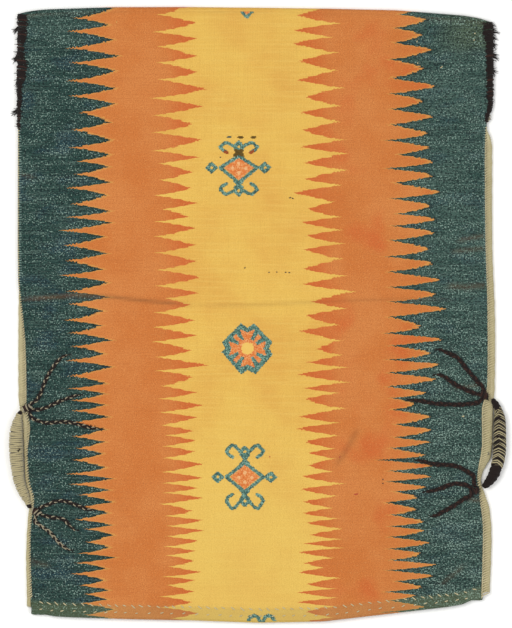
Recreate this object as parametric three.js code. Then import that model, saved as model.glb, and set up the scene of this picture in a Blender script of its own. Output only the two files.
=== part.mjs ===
// Kilim pack bag, lying flat and empty: one pouch with a tapestry-woven wool face that folds
// round the base, a plain cream back sewn to it at the sides, dark goat-hair bindings at the
// base corners and a rope handle at each side whose ends are plaited and sewn to the face.
// Millimetres. +Z is up, +Y points to the closed base and -Y to the open mouth. The bag lies
// on z = 0 with the middle of its outline over the origin.

import * as THREE from 'three';

// ---------------------------------------------------------------- driving dimensions

const GAP = 0.35;                 // between pieces that touch

const FACE_THICKNESS = 2.5;       // tapestry-woven wool
const BACK_THICKNESS = 1.8;       // plain-woven cream wool
const FACE_TOP = 13;              // top of the face over the hollow
const SIDE_TOP = 7.6;             // top of the face at its two sewn edges
const SIDE_SLOPE = 36;            // the face comes up to its full height over this width

const FOLD_END = 2;               // the base fold's piece ends this far in from its bend
const RETURN_END = 247;           // the face's cloth folds under the base and ends at this y
const CORNER_LIFT = 1.5;          // the binding's lower turns lift the folded-under cloth
const CORNER_LIFT_WIDTH = 14;
const CORNER_LIFT_FROM = 262;
const CORNER_LIFT_FULL = 280;

const HEM_DEPTH = 20;             // cloth turned in at the mouth
const HEM_TURN = FACE_THICKNESS / 2 + 0.15;   // middle radius of the hem's fold
const HEM_STITCH_ROWS = { hem_thread_upper: 18, hem_thread_lower: 9.5 };
const HEM_THREAD = 1.2;

const LAP_START = 232;            // the back rises here to lap over the folded-under cloth
const LAP_TOP = 244;
const BACK_END = 262;
const BACK_MOUTH_INSET = 4;       // the back stops a little short of the face at the mouth
const LAP_THREAD = 0.7;

const LIP_TOP = 6.9;              // the back's edge, rolled up beside the face's edge
const HIDDEN_LIP_TOP = 3;         // and where it lies under the face's edge
const LIP_BEVEL = 1.2;
const SEAM_GROOVE = 2.3;          // between the rolled edge and the face's edge
const SEAM_THREAD = 1;

const BINDING_OVER = 2.2;         // thickness of the oversewing above and outside the edge
const BINDING_UNDER = 0.9;        // and beneath it

const ROPE_END_RADIUS = 3.2;
const AXIS_HEIGHT = 11.5;         // the ropes turn up about the line through their two ends
const WRAP_WALL = 1.6;            // yarn wound round the rope

const PLAIT_HALF_WIDTH = { left: 2.7, right: 3.1 };
const PLAIT_HALF_HEIGHT = 2;
const KNOT_RADII = new THREE.Vector3(5.4, 4.4, 3.8);

const COLOURS = {
  teal: 0x2f5c5c, cream: 0xcfc4a0, yarn: 0xb5a77c, thread: 0xdccf9f, goatHair: 0x1f1210,
};

// ---------------------------------------------------------------- outline of the bag

/** A smooth function through hand-picked [t, value] points, level beyond both ends. */
function through(points) {
  const last = points.length - 1;
  const slopes = points.map((_, i) => {
    const before = points[Math.max(i - 1, 0)];
    const after = points[Math.min(i + 1, last)];
    return (after[1] - before[1]) / (after[0] - before[0]);
  });
  return (t) => {
    if (t <= points[0][0]) return points[0][1];
    if (t >= points[last][0]) return points[last][1];
    const i = points.findIndex((point) => point[0] > t) - 1;
    const span = points[i + 1][0] - points[i][0];
    const s = (t - points[i][0]) / span;
    const ease = s * s * (3 - 2 * s);
    return points[i][1] * (1 - ease) + points[i + 1][1] * ease
      + span * (slopes[i] * s * (1 - s) ** 2 - slopes[i + 1] * s * s * (1 - s));
  };
}

// x of each side edge against y: the face's cloth, and the cream back's rolled edge.
const faceLeft = through([
  [-400, -304], [-330, -307], [-285, -306.5], [-262, -303.5], [-246, -302], [-226, -308.2],
  [-203, -310.3], [-181, -311], [-160, -308], [-145, -308], [-125, -312.3], [-100, -312.5],
  [-35, -314.2], [10, -318.5], [45, -321.8], [160, -322.3], [400, -321.5],
]);
const faceRight = through([
  [-385, 302.5], [-330, 304.4], [-283, 305], [-262, 303], [-243, 300], [-220, 297],
  [-209, 298], [-195, 300.6], [-180, 303.8], [-121, 303.9], [-112, 307], [-95, 310.8],
  [20, 311], [90, 308.6], [264, 308.5], [280, 314.8], [400, 315.2],
]);
const backLeft = through([
  [-391, -310], [-330, -312.5], [-285, -310.8], [-262, -308.6], [-250, -306.8], [-240, -307.9],
  [-226, -313], [-195, -314.8], [-160, -316.2], [-148, -316.3], [-134, -318.4], [-122, -321.6],
  [-100, -322.6], [20, -322.4], [45, -321.4], [160, -321.9], [400, -321.1],
]);
const backRight = through([
  [-385, 313], [-330, 315.2], [-300, 316], [-263, 313.5], [-245, 308], [-232, 303],
  [-222, 300.9], [-210, 304.5], [-200, 310.5], [-190, 315.5], [-160, 317.3], [-120, 318.5],
  [-105, 320], [-6, 320.6], [88, 316.8], [262, 316.6],
]);

// y of the mouth and of the base fold against x.
const mouth = through([
  [-315, -401.5], [-305, -405.5], [-200, -409.5], [-145, -409.5], [-78, -412], [0, -414.5],
  [60, -414], [125, -410], [192, -401.5], [233, -396], [290, -391], [300, -386], [312, -380],
]);
const base = through([
  [-323, 402.5], [-312, 407.5], [-294, 411.5], [-240, 414.5], [-145, 416], [57, 414], [192, 411],
  [287, 402], [316, 391],
]);

const EDGE_MIDDLES = [-315, 308];  // about where the two side edges run

/** Height of the face's upper side: it slopes up from both sewn edges to a level middle. */
function faceTopAt(x, y) {
  const fromEdge = Math.max(0, Math.min(x - faceLeft(y), faceRight(y) - x));
  return THREE.MathUtils.lerp(SIDE_TOP, FACE_TOP, Math.min(1, fromEdge / SIDE_SLOPE));
}

// Rows of cross-sections along y, closest together beside the handles.
const ROWS = [
  -398, -380, -355, -330, -300, -280, -262, -250, -240, -232, -222, -210, -200, -190, -175,
  -160, -148, -134, -122, -110, -95, -65, -35, -8, 20, 45, 90, 160, 220, 250, 264, 280, 300,
  345, 380,
];

const STRAIGHT_ROWS = 300;        // beyond this the rows close up to follow the mouth and base

/** y of a row in a column that runs from the mouth's y to the base's y. */
function rowBetween(row, mouthY, baseY) {
  if (row < -STRAIGHT_ROWS) {
    return THREE.MathUtils.mapLinear(row, -415, -STRAIGHT_ROWS, mouthY, -STRAIGHT_ROWS);
  }
  if (row > STRAIGHT_ROWS) {
    return THREE.MathUtils.mapLinear(row, STRAIGHT_ROWS, 415, STRAIGHT_ROWS, baseY);
  }
  return row;
}

// ---------------------------------------------------------------- solids from outlines

/** Turns vertices and triangles into a geometry whose faces point outwards. */
function closedGeometry(points, triangles) {
  const volume = triangles.reduce((sum, [a, b, c]) => {
    const normal = new THREE.Vector3().crossVectors(points[b], points[c]);
    return sum + points[a].dot(normal);
  }, 0);
  const outward = volume < 0 ? triangles.map(([a, b, c]) => [a, c, b]) : triangles;
  const geometry = new THREE.BufferGeometry();
  geometry.setAttribute('position',
    new THREE.Float32BufferAttribute(points.flatMap((point) => point.toArray()), 3));
  geometry.setIndex(outward.flat());
  geometry.computeVertexNormals();
  return geometry;
}

/**
 * Joins a row of matching closed outlines into one solid. Each outline runs along one side of
 * a cloth and back along the other, so its ends are capped by a ladder from side to side.
 */
function loft(outlines) {
  const count = outlines[0].length;
  const triangles = [];
  for (let row = 0; row < outlines.length - 1; row += 1) {
    for (let i = 0; i < count; i += 1) {
      const a = row * count + i;
      const b = row * count + (i + 1) % count;
      triangles.push([a, b, b + count], [a, b + count, a + count]);
    }
  }
  const lastRow = (outlines.length - 1) * count;
  for (let i = 0; i < count / 2 - 1; i += 1) {
    const [a, b, c, d] = [i, i + 1, count - 2 - i, count - 1 - i];
    triangles.push([c, b, a], [d, c, a]);
    triangles.push(...[[a, b, c], [a, c, d]].map((cap) => cap.map((v) => v + lastRow)));
  }
  return closedGeometry(outlines.flat(), triangles);
}

/** Closed outline of a cloth of the given thickness whose middle follows the 2-D path. */
function clothOutline(path, thickness) {
  const normals = path.map((_, i) => {
    const before = path[Math.max(i - 1, 0)];
    const after = path[Math.min(i + 1, path.length - 1)];
    return new THREE.Vector2(before.y - after.y, after.x - before.x).normalize();
  });
  const side = (sign) => path.map((point, i) => point.clone()
    .addScaledVector(normals[i], sign * thickness / 2));
  return [...side(1), ...side(-1).reverse()];
}

/** Points of an arc in 2-D, without its first and last point. */
function arc(centreX, centreY, radius, fromDegrees, toDegrees, steps) {
  return Array.from({ length: steps - 1 }, (_, i) => {
    const angle = THREE.MathUtils.degToRad(
      THREE.MathUtils.lerp(fromDegrees, toDegrees, (i + 1) / steps));
    return new THREE.Vector2(centreX + radius * Math.cos(angle), centreY + radius * Math.sin(angle));
  });
}

/** Bends a solid that was turned about the y axis onto a curve, y becoming length along it. */
function bendAlong(geometry, curve) {
  const length = curve.getLength();
  const position = geometry.getAttribute('position');
  const up = new THREE.Vector3(0, 0, 1);
  for (let i = 0; i < position.count; i += 1) {
    const along = position.getY(i);
    const on = THREE.MathUtils.clamp(along, 0, length);
    const tangent = curve.getTangentAt(on / length);
    const sideways = new THREE.Vector3().crossVectors(tangent, up).normalize();
    const upright = new THREE.Vector3().crossVectors(sideways, tangent);
    const point = curve.getPointAt(on / length)
      .addScaledVector(tangent, along - on)
      .addScaledVector(sideways, position.getX(i))
      .addScaledVector(upright, position.getZ(i));
    position.setXYZ(i, point.x, point.y, point.z);
  }
  return geometry;
}

const bag = new THREE.Group();

function add(name, geometry, colour, roughness = 0.95) {
  const material = new THREE.MeshStandardMaterial({ color: colour, roughness, metalness: 0 });
  const mesh = new THREE.Mesh(geometry, material);
  mesh.name = name;
  bag.add(mesh);
  return mesh;
}

// ---------------------------------------------------------------- kilim face and base fold

/**
 * Middle of the cloth at one column, in two parts that meet just inside the base fold: first the
 * turned-in hem, the face and the fold, and then the cloth that lies underneath.
 */
function kilimColumn(fraction) {
  const nominalX = THREE.MathUtils.lerp(...EDGE_MIDDLES, fraction);
  const mouthY = mouth(nominalX);
  const baseY = base(nominalX);
  const half = FACE_THICKNESS / 2;
  const xAt = (y) => THREE.MathUtils.lerp(faceLeft(y), faceRight(y), fraction);
  const middleAt = (y) => faceTopAt(xAt(y), y) - half;
  const fromEdge = Math.min(fraction, 1 - fraction) * (EDGE_MIDDLES[1] - EDGE_MIDDLES[0]);
  const cornerLift = fromEdge < CORNER_LIFT_WIDTH - 1 ? CORNER_LIFT : 0;

  const hemY = mouthY + HEM_TURN + half;
  const hemTop = middleAt(hemY);
  const returnZ = half + cornerLift;
  const foldTop = middleAt(baseY);
  const foldRadius = (foldTop - returnZ) / 2;
  const foldY = baseY - foldRadius - half;

  const face = [
    new THREE.Vector2(mouthY + HEM_DEPTH, hemTop - 2 * HEM_TURN),
    new THREE.Vector2(hemY, hemTop - 2 * HEM_TURN),
    ...arc(hemY, hemTop - HEM_TURN, HEM_TURN, 270, 90, 4),
    new THREE.Vector2(hemY, hemTop),
    ...ROWS.map((row) => {
      const y = rowBetween(row, hemY, foldY);
      return new THREE.Vector2(y, middleAt(y));
    }),
    new THREE.Vector2(foldY, foldTop),
    ...arc(foldY, (foldTop + returnZ) / 2, foldRadius, 90, -90, 6),
    new THREE.Vector2(foldY, returnZ),
    new THREE.Vector2(foldY - FOLD_END, returnZ),
  ];
  const under = [
    new THREE.Vector2(foldY - FOLD_END - GAP, returnZ),
    new THREE.Vector2(CORNER_LIFT_FULL, returnZ),
    new THREE.Vector2(CORNER_LIFT_FROM, half),
    new THREE.Vector2(RETURN_END, half),
  ];
  return [face, under].map((path) => clothOutline(path, FACE_THICKNESS)
    .map((point) => new THREE.Vector3(xAt(point.x), point.x, point.y)));
}

const faceWidth = EDGE_MIDDLES[1] - EDGE_MIDDLES[0];
const EDGE_COLUMNS = [0, CORNER_LIFT_WIDTH / faceWidth / 2, CORNER_LIFT_WIDTH / faceWidth,
  SIDE_SLOPE / faceWidth];
const MIDDLE_COLUMNS = [0.2, 0.35, 0.5, 0.65, 0.8];
const COLUMNS = [...EDGE_COLUMNS, ...MIDDLE_COLUMNS, ...EDGE_COLUMNS.map((f) => 1 - f).reverse()];

const kilimColumns = COLUMNS.map(kilimColumn);
add('kilim_panel', loft(kilimColumns.map(([face]) => face)), COLOURS.teal);
add('kilim_turned_under', loft(kilimColumns.map(([, under]) => under)), COLOURS.teal);

// ---------------------------------------------------------------- cream back

/** One side of the back's section, from its outer edge inwards, as [x, underside, top]. */
function rolledEdge(edge, outer, under, top) {
  const inwards = Math.sign(-outer);
  const showing = (edge - outer) * inwards > SEAM_GROOVE + LIP_BEVEL + 0.2;
  const lipTop = showing ? LIP_TOP : Math.max(HIDDEN_LIP_TOP, top);
  const inner = showing ? edge - inwards * SEAM_GROOVE : outer + inwards * 3 * LIP_BEVEL;
  return [
    [outer, under + LIP_BEVEL / 2, lipTop - LIP_BEVEL],
    [outer + inwards * LIP_BEVEL, under, lipTop],
    [inner, under, lipTop],
    [inner + inwards * 0.2, under, top],
    [outer + inwards * SIDE_SLOPE, under, top],
  ];
}

function backSection(y) {
  const under = (FACE_THICKNESS + GAP) * THREE.MathUtils.smoothstep(y, LAP_START, LAP_TOP);
  const top = under + BACK_THICKNESS;
  const left = rolledEdge(faceLeft(y), backLeft(y), under, top);
  const right = rolledEdge(faceRight(y), backRight(y), under, top).reverse();
  const section = [...left, ...right];
  return [
    ...section.map(([x, low]) => new THREE.Vector3(x, y, low)),
    ...section.map(([x, , high]) => new THREE.Vector3(x, y, high)).reverse(),
  ];
}

/** The back's first section, moved to follow the bow of the mouth. */
function followMouth(outline) {
  return outline.map((point) => new THREE.Vector3(
    point.x, mouth(point.x) + BACK_MOUTH_INSET, point.z));
}

const backRows = [...ROWS.filter((y) => y > -370 && y < LAP_START), LAP_START, LAP_TOP, BACK_END];
const backSections = backRows.map(backSection);
add('back_panel', loft([followMouth(backSection(-378)), ...backSections]), COLOURS.cream);

// ---------------------------------------------------------------- threads

/** A thread, plait or cord of oval section along a curve. */
function cordAlong(points, halfHeight, halfWidth, sides, steps) {
  const section = new THREE.Shape(Array.from({ length: sides }, (_, i) => {
    const angle = 2 * Math.PI * (i + 0.5) / sides;
    return new THREE.Vector2(halfHeight * Math.cos(angle), halfWidth * Math.sin(angle));
  }));
  const extrudePath = new THREE.CatmullRomCurve3(points, false, 'centripetal');
  return new THREE.ExtrudeGeometry(section, { steps, bevelEnabled: false, extrudePath });
}

const SEAM_Z = SIDE_TOP - 1.4;
const SEAM_ROWS = ROWS.filter((y) => y > -385 && y < 255);
for (const [name, edge, outwards] of [
  ['side_seam_left', faceLeft, -1], ['side_seam_right', faceRight, 1],
]) {
  const line = SEAM_ROWS.map((y) => new THREE.Vector3(
    edge(y) + outwards * SEAM_GROOVE / 2, y, SEAM_Z));
  add(name, cordAlong(line, SEAM_THREAD / 2, SEAM_THREAD / 2, 5, 48), COLOURS.thread);
}

for (const [name, depth] of Object.entries(HEM_STITCH_ROWS)) {
  const line = Array.from({ length: 17 }, (_, i) => {
    const x = THREE.MathUtils.lerp(-296, 296, i / 16);
    const y = mouth(x) + depth;
    return new THREE.Vector3(x, y, faceTopAt(x, y) + 3 * GAP + HEM_THREAD / 2);
  });
  add(name, cordAlong(line, HEM_THREAD / 2, HEM_THREAD / 2, 5, 28), COLOURS.thread);
}

const LAP_THREAD_Z = FACE_THICKNESS + GAP + BACK_THICKNESS + GAP + LAP_THREAD / 2;
const lapLine = [-268, -90, 90, 262].map((x) => new THREE.Vector3(
  x, (LAP_TOP + BACK_END) / 2, LAP_THREAD_Z));
add('lap_seam_thread', cordAlong(lapLine, LAP_THREAD / 2, LAP_THREAD / 2, 6, 6), COLOURS.thread);

// ---------------------------------------------------------------- bindings at the base corners

/** Oversewing round the side edge: a C-shaped section, its upper leg lying on the face. */
function bindingSection(edge, inwards, y, overLeg, underLeg) {
  const edgeX = edge(y);
  const onFace = (distance) => faceTopAt(edgeX + inwards * distance, y) + GAP;
  const under = GAP / 2;
  const outer = [
    [overLeg, onFace(overLeg) + 0.6 * BINDING_OVER],
    [overLeg / 2, onFace(overLeg / 2) + BINDING_OVER],
    [0, onFace(0) + BINDING_OVER],
    [-GAP - BINDING_OVER, onFace(0)],
    [-GAP - BINDING_OVER, under + BINDING_UNDER],
    [0, under],
    [underLeg, under],
  ];
  const inner = [
    [overLeg, onFace(overLeg)],
    [overLeg / 2, onFace(overLeg / 2)],
    [0, onFace(0)],
    [-GAP, onFace(0) - GAP],
    [-GAP, under + BINDING_UNDER + GAP],
    [0, under + BINDING_UNDER],
    [underLeg, under + BINDING_UNDER],
  ];
  return [...outer, ...inner.reverse()]
    .map(([distance, z]) => new THREE.Vector3(edgeX + inwards * distance, y, z));
}

// How far the oversewing reaches over the face: only a few strands below the left corner.
const bindingLeftLeg = through([[282, 3.2], [312, 4.5], [330, 11.5], [399, 11]]);
const BINDING_RIGHT_LEG = 7;
const BINDING_UNDER_LEG = 8;

const leftRows = [282, 298, 312, 322, 332, 350, 370, 386, 399];
add('binding_left', loft(leftRows.map(
  (y) => bindingSection(faceLeft, 1, y, bindingLeftLeg(y), BINDING_UNDER_LEG))),
COLOURS.goatHair);

const rightRows = [282, 300, 320, 345, 370, 387];
add('binding_right', loft(rightRows.map(
  (y) => bindingSection(faceRight, -1, y, BINDING_RIGHT_LEG, BINDING_UNDER_LEG))),
COLOURS.goatHair);

// ---------------------------------------------------------------- rope handles

const HANDLES = {
  left: {
    // x, y and radius along the rope's middle, from the end nearer the base
    route: [
      [-319.3, -129.2, 3.2], [-322.8, -139, 5.8], [-324.3, -148, 7.9], [-325.6, -160, 9.3],
      [-325.4, -181.8, 9.9], [-324.6, -195.3, 9.6], [-323.4, -208.8, 8.7],
      [-321, -225.9, 7.6], [-314.6, -240.4, 6.6], [-306.5, -259.5, 3.2],
    ],
    wrapped: [0.075, 0.93],
    bareSleeve: true,
  },
  right: {
    route: [
      [315.2, -113, 3.2], [321.2, -120, 4.6], [324.8, -129, 6.2], [326.4, -141.3, 8.1],
      [326.6, -161.6, 8.8], [326.2, -181.8, 8.9], [323.3, -202, 8.3], [318, -215.6, 7.5],
      [310, -225.8, 5.8], [301.7, -231.8, 3.2],
    ],
    wrapped: [0.13, 0.735],
    bareSleeve: false,
  },
};
const FLOOR_CLEARANCE = 0.5;
const PROFILE_STEPS = 16;
const ROPE_SIDES = 12;

for (const [side, handle] of Object.entries(HANDLES)) {
  const curve = new THREE.CatmullRomCurve3(handle.route.map(([x, y, radius]) => {
    const lying = radius + FLOOR_CLEARANCE;
    const share = (radius - ROPE_END_RADIUS) / (9.9 - ROPE_END_RADIUS);
    return new THREE.Vector3(x, y, THREE.MathUtils.lerp(AXIS_HEIGHT, lying, share));
  }), false, 'centripetal');
  const length = curve.getLength();
  const chordShare = (y) => (y - handle.route[0][1]) / (handle.route.at(-1)[1] - handle.route[0][1]);
  const radiusByShare = through(handle.route.map(([, y, radius]) => [chordShare(y), radius]));
  const radiusAt = (s) => radiusByShare(chordShare(curve.getPointAt(s / length).y));
  const [wrapFrom, wrapTo] = handle.wrapped.map((share) => share * length);
  const wrapStations = Array.from({ length: PROFILE_STEPS + 1 }, (_, i) =>
    THREE.MathUtils.lerp(wrapFrom, wrapTo, i / PROFILE_STEPS));

  // The rope is thinner under its wrapping and ends in a round tip on the turning line.
  const core = (s) => radiusAt(s) - WRAP_WALL - GAP;
  const bare = (s) => (handle.bareSleeve ? Math.max(core(s), ROPE_END_RADIUS) : radiusAt(s));
  const bareStations = (from, to, steps) => Array.from({ length: steps }, (_, i) => {
    const s = THREE.MathUtils.lerp(from, to, i / (steps - 1));
    return new THREE.Vector2(Math.max(bare(s), ROPE_END_RADIUS), s);
  });
  const tip = [0, 30, 60].map((degrees) => THREE.MathUtils.degToRad(degrees));
  const profile = [
    ...tip.map((a) => new THREE.Vector2(
      ROPE_END_RADIUS * Math.sin(a), -ROPE_END_RADIUS * Math.cos(a))),
    ...bareStations(0, wrapFrom - 2 * GAP, 4),
    ...wrapStations.map((s) => new THREE.Vector2(core(s), s)),
    ...bareStations(wrapTo + 2 * GAP, length, 6),
    ...tip.reverse().map((a) => new THREE.Vector2(
      ROPE_END_RADIUS * Math.sin(a), length + ROPE_END_RADIUS * Math.cos(a))),
  ];
  add(`handle_${side}_rope`, bendAlong(new THREE.LatheGeometry(profile, ROPE_SIDES), curve),
    COLOURS.goatHair);

  const sleeve = [
    ...wrapStations.map((s) => new THREE.Vector2(radiusAt(s), s)),
    ...wrapStations.reverse().map((s) => new THREE.Vector2(radiusAt(s) - WRAP_WALL, s)),
  ];
  add(`handle_${side}_wrap`,
    bendAlong(new THREE.LatheGeometry([...sleeve, sleeve[0]], ROPE_SIDES), curve), COLOURS.yarn);
}

// ---------------------------------------------------------------- knots and plaits on the face

const KNOTS = {
  left_upper: [-310.8, -124.6], left_lower: [-298.5, -264.8],
  right_upper: [306.5, -108.2], right_lower: [293, -237],
};
for (const [place, [x, y]] of Object.entries(KNOTS)) {
  const knot = add(`knot_${place}`, new THREE.SphereGeometry(1, 12, 8), COLOURS.goatHair);
  knot.scale.copy(KNOT_RADII);
  const inwards = x - Math.sign(x) * KNOT_RADII.x;
  knot.position.set(x, y, faceTopAt(inwards, y) + GAP + KNOT_RADII.z);
}

// Each rope's end opens into three plaits, fanned out over the face: x and y along each.
const PLAITS = {
  left_upper: [
    [[-303.5, -119.5], [-293.6, -111.6], [-289.2, -95], [-280.1, -76.5], [-269, -61], [-257, -52]],
    [[-301.5, -128.5], [-282.8, -123.8], [-266.6, -115.7], [-251.8, -110.3], [-239.6, -106.2]],
    [[-303, -137], [-289.6, -145.4], [-258.5, -142.7], [-242.3, -146.7], [-226.1, -150.8],
      [-214, -153.5]],
  ],
  left_lower: [
    [[-289.5, -259], [-273.4, -250.7], [-262.6, -249.3], [-246.4, -254.7], [-232.9, -260.1],
      [-222.1, -264.2]],
    [[-289, -269.5], [-275, -272.5], [-262.6, -273.6], [-253.1, -283.1], [-246.4, -291.2]],
    [[-299, -276.5], [-292.3, -284.4], [-280.1, -291.2], [-269.3, -304.7], [-253.1, -318.2]],
  ],
  right_upper: [
    [[302, -97.5], [289.6, -80.6], [278.8, -69.8], [272, -57.6], [255.8, -50.9], [245, -44.1]],
    [[296, -107], [285.5, -102.8], [261.2, -90], [249.1, -80.6], [241, -79.2]],
    [[297.5, -117.5], [289.6, -119], [261.2, -120.4], [238.3, -118.5], [218, -115], [204, -113.5]],
  ],
  right_lower: [
    [[290, -217], [282.8, -210.5], [268, -202.6], [238.3, -200.7], [215.3, -194]],
    [[282.5, -230], [270, -226.4], [258.5, -227.7], [247.7, -233.1], [227.5, -238.5]],
    [[283.5, -244], [276.1, -248.8], [258.5, -260.1], [235.6, -272.3]],
  ],
};
for (const [place, group] of Object.entries(PLAITS)) {
  const halfWidth = PLAIT_HALF_WIDTH[place.split('_')[0]];
  group.forEach((route, i) => {
    const line = route.map(([x, y]) => new THREE.Vector3(
      x, y, faceTopAt(x, y) + 3 * GAP + PLAIT_HALF_HEIGHT));
    const geometry = cordAlong(line, PLAIT_HALF_HEIGHT, halfWidth, 8, 9);
    add(`plait_${place}_${i + 1}`, geometry, COLOURS.goatHair);
  });
}

export default bag;
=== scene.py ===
"""The kilim pack bag as it looks: woven face, cream back, stitching, bindings and rope handles.

Lengths are in millimetres until a mesh is made. The frame's +Y points to the bag's closed base
and -Y to its open mouth, and +Z is up.
"""

import math

import bpy
import numpy as np
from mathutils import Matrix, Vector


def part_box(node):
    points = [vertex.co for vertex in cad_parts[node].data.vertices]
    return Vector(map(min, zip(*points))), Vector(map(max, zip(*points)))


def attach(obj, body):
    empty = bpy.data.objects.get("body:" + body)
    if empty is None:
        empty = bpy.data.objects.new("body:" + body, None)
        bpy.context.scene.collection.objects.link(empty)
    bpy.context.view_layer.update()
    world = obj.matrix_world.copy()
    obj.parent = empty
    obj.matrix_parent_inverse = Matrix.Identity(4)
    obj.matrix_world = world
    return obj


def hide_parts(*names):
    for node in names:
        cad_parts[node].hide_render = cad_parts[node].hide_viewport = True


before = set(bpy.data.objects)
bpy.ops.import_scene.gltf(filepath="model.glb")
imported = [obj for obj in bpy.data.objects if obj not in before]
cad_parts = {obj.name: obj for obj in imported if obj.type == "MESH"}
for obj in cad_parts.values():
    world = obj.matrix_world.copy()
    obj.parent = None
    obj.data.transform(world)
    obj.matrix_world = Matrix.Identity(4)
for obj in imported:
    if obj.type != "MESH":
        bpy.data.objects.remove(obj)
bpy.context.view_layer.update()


# ------------------------------------------------------------------ measuring the CAD model

def smoothstep(value, low=0.0, high=1.0):
    t = np.clip((value - low) / (high - low), 0, 1)
    return t * t * (3 - 2 * t)


def smooth(values, reach):
    """Moving average over this many neighbours to each side."""
    padded = np.pad(values, reach, mode="edge")
    return np.convolve(padded, np.ones(2 * reach + 1) / (2 * reach + 1), mode="valid")


def sections(node, axis, count, inset=0.3):
    """Even cuts across a CAD node: their places, and each cut's lowest and highest corner."""
    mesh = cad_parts[node].data
    points = np.array([v.co for v in mesh.vertices]) * 1000
    ends = points[np.array([e.vertices for e in mesh.edges])]
    first, second = ends[:, 0], ends[:, 1]
    places = np.linspace(points[:, axis].min() + inset, points[:, axis].max() - inset, count)
    low, high = [], []
    for place in places:
        crosses = (first[:, axis] - place) * (second[:, axis] - place) < 0
        a, b = first[crosses], second[crosses]
        share = (place - a[:, axis]) / (b[:, axis] - a[:, axis])
        cut = a + share[:, None] * (b - a)
        low.append(cut.min(axis=0))
        high.append(cut.max(axis=0))
    return places, np.array(low), np.array(high)


def steady_line(places, values, low, high):
    """An outline's edge as a function of its place from low to high, held level beyond."""
    kept = (places > low) & (places < high)
    line = smooth(values[kept], 2)
    return lambda place: np.interp(place, places[kept], line)


x_cuts, face_low_x, face_high_x = sections("kilim_panel", 0, 240)
y_cuts, face_low_y, face_high_y = sections("kilim_panel", 1, 420)
back_cuts, back_low, back_high = sections("back_panel", 1, 300)
LEFT, RIGHT = x_cuts[0], x_cuts[-1]
mouth_at = steady_line(x_cuts, face_low_x[:, 1], LEFT + 20, RIGHT - 15)
base_at = steady_line(x_cuts, face_high_x[:, 1], LEFT + 0.5, RIGHT - 0.5)
left_end, right_end = mouth_at(LEFT) + 9, mouth_at(RIGHT) + 9
face_left = steady_line(y_cuts, face_low_y[:, 0], left_end, base_at(LEFT) - 8)
face_right = steady_line(y_cuts, face_high_y[:, 0], right_end, base_at(RIGHT) - 8)
back_left = steady_line(back_cuts, back_low[:, 0], left_end + 4, 400)
back_right = steady_line(back_cuts, back_high[:, 0], right_end + 4, 400)

FACE_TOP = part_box("kilim_panel")[1].z * 1000
SIDE_TOP = face_high_x[0, 2]
CLOTH = 2.5
BACK_CLOTH = 1.8
BACK_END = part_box("back_panel")[1].y * 1000
LIP_TOP = back_high[:, 2].max()
SLOPE = 42


# ------------------------------------------------------------------ the lie of the face

def swells(x, y, size, seed):
    """Gentle seeded undulation, about -1 to 1, whose swells are about this far apart."""
    pick = np.random.default_rng(seed)
    total = 0
    for _ in range(10):
        angle, phase = pick.uniform(0, math.tau, 2)
        length = size * pick.uniform(0.75, 1.7)
        across = x * math.cos(angle) + y * math.sin(angle)
        total = total + np.sin(math.tau * across / length + phase)
    return total / 4


def distance_to_path(x, y, path):
    """Distance to a path of straight parts, with its sign telling the side, and how far along."""
    nearest = np.full(np.broadcast(x, y).shape, 1e9)
    along = np.zeros(nearest.shape)
    lengths = [math.dist(a, b) for a, b in zip(path, path[1:])]
    done = 0
    for (ax, ay), (bx, by), length in zip(path, path[1:], lengths):
        ux, uy = (bx - ax) / length, (by - ay) / length
        t = np.clip((x - ax) * ux + (y - ay) * uy, 0, length)
        dx, dy = x - ax - t * ux, y - ay - t * uy
        d = np.hypot(dx, dy) * np.where(ux * dy - uy * dx < 0, -1, 1)
        closer = np.abs(d) < np.abs(nearest)
        nearest = np.where(closer, d, nearest)
        along = np.where(closer, (done + t) / sum(lengths), along)
        done += length
    return nearest, along


# Each fold: its path, width, height (negative for a furrow), and how much painted shade darkens it.
FOLDS = [
    ([(-322, 21), (-246, 27), (-199, 25), (-145, 19), (-91, 14)], 3.5, -1.1, 0.55),
    ([(-91, 14), (-10, 14), (152, 21), (262, 21)], 3.5, -0.6, 0.22),
    ([(-322, 30), (-246, 36), (-199, 34), (-145, 28), (-40, 23)], 9, 0.8, 0),
    ([(136, -152), (122, -178), (106, -203)], 6, -0.9, 0.3),
    ([(240, -376), (272, -350), (306, -318)], 7, 1.3, 0),
    ([(247, -363), (278, -338)], 4, -0.8, 0.2),
    ([(309, 108), (270, 101)], 4, -0.9, 0.3),
    ([(309, 91), (262, 86)], 4, -0.8, 0.25),
    ([(311, 41), (282, 38), (255, 40)], 5, -1.1, 0.3),
    ([(311, 32), (285, 30)], 4, 0.9, 0),
    ([(305, -92), (280, -97), (262, -95)], 4, -0.9, 0.25),
    ([(301, -250), (282, -247)], 4, -0.9, 0.3),
    ([(-322, 190), (-300, 186)], 4, -0.7, 0.2),
    ([(-310, -330), (-280, -338)], 5, -0.7, 0.2),
]
HEM_DEPTH = 20
STITCH_ROWS = [(18.0, 11.6, 5.4), (9.0, 15.0, 4.2)]   # from the mouth, spacing, stitch length


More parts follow.
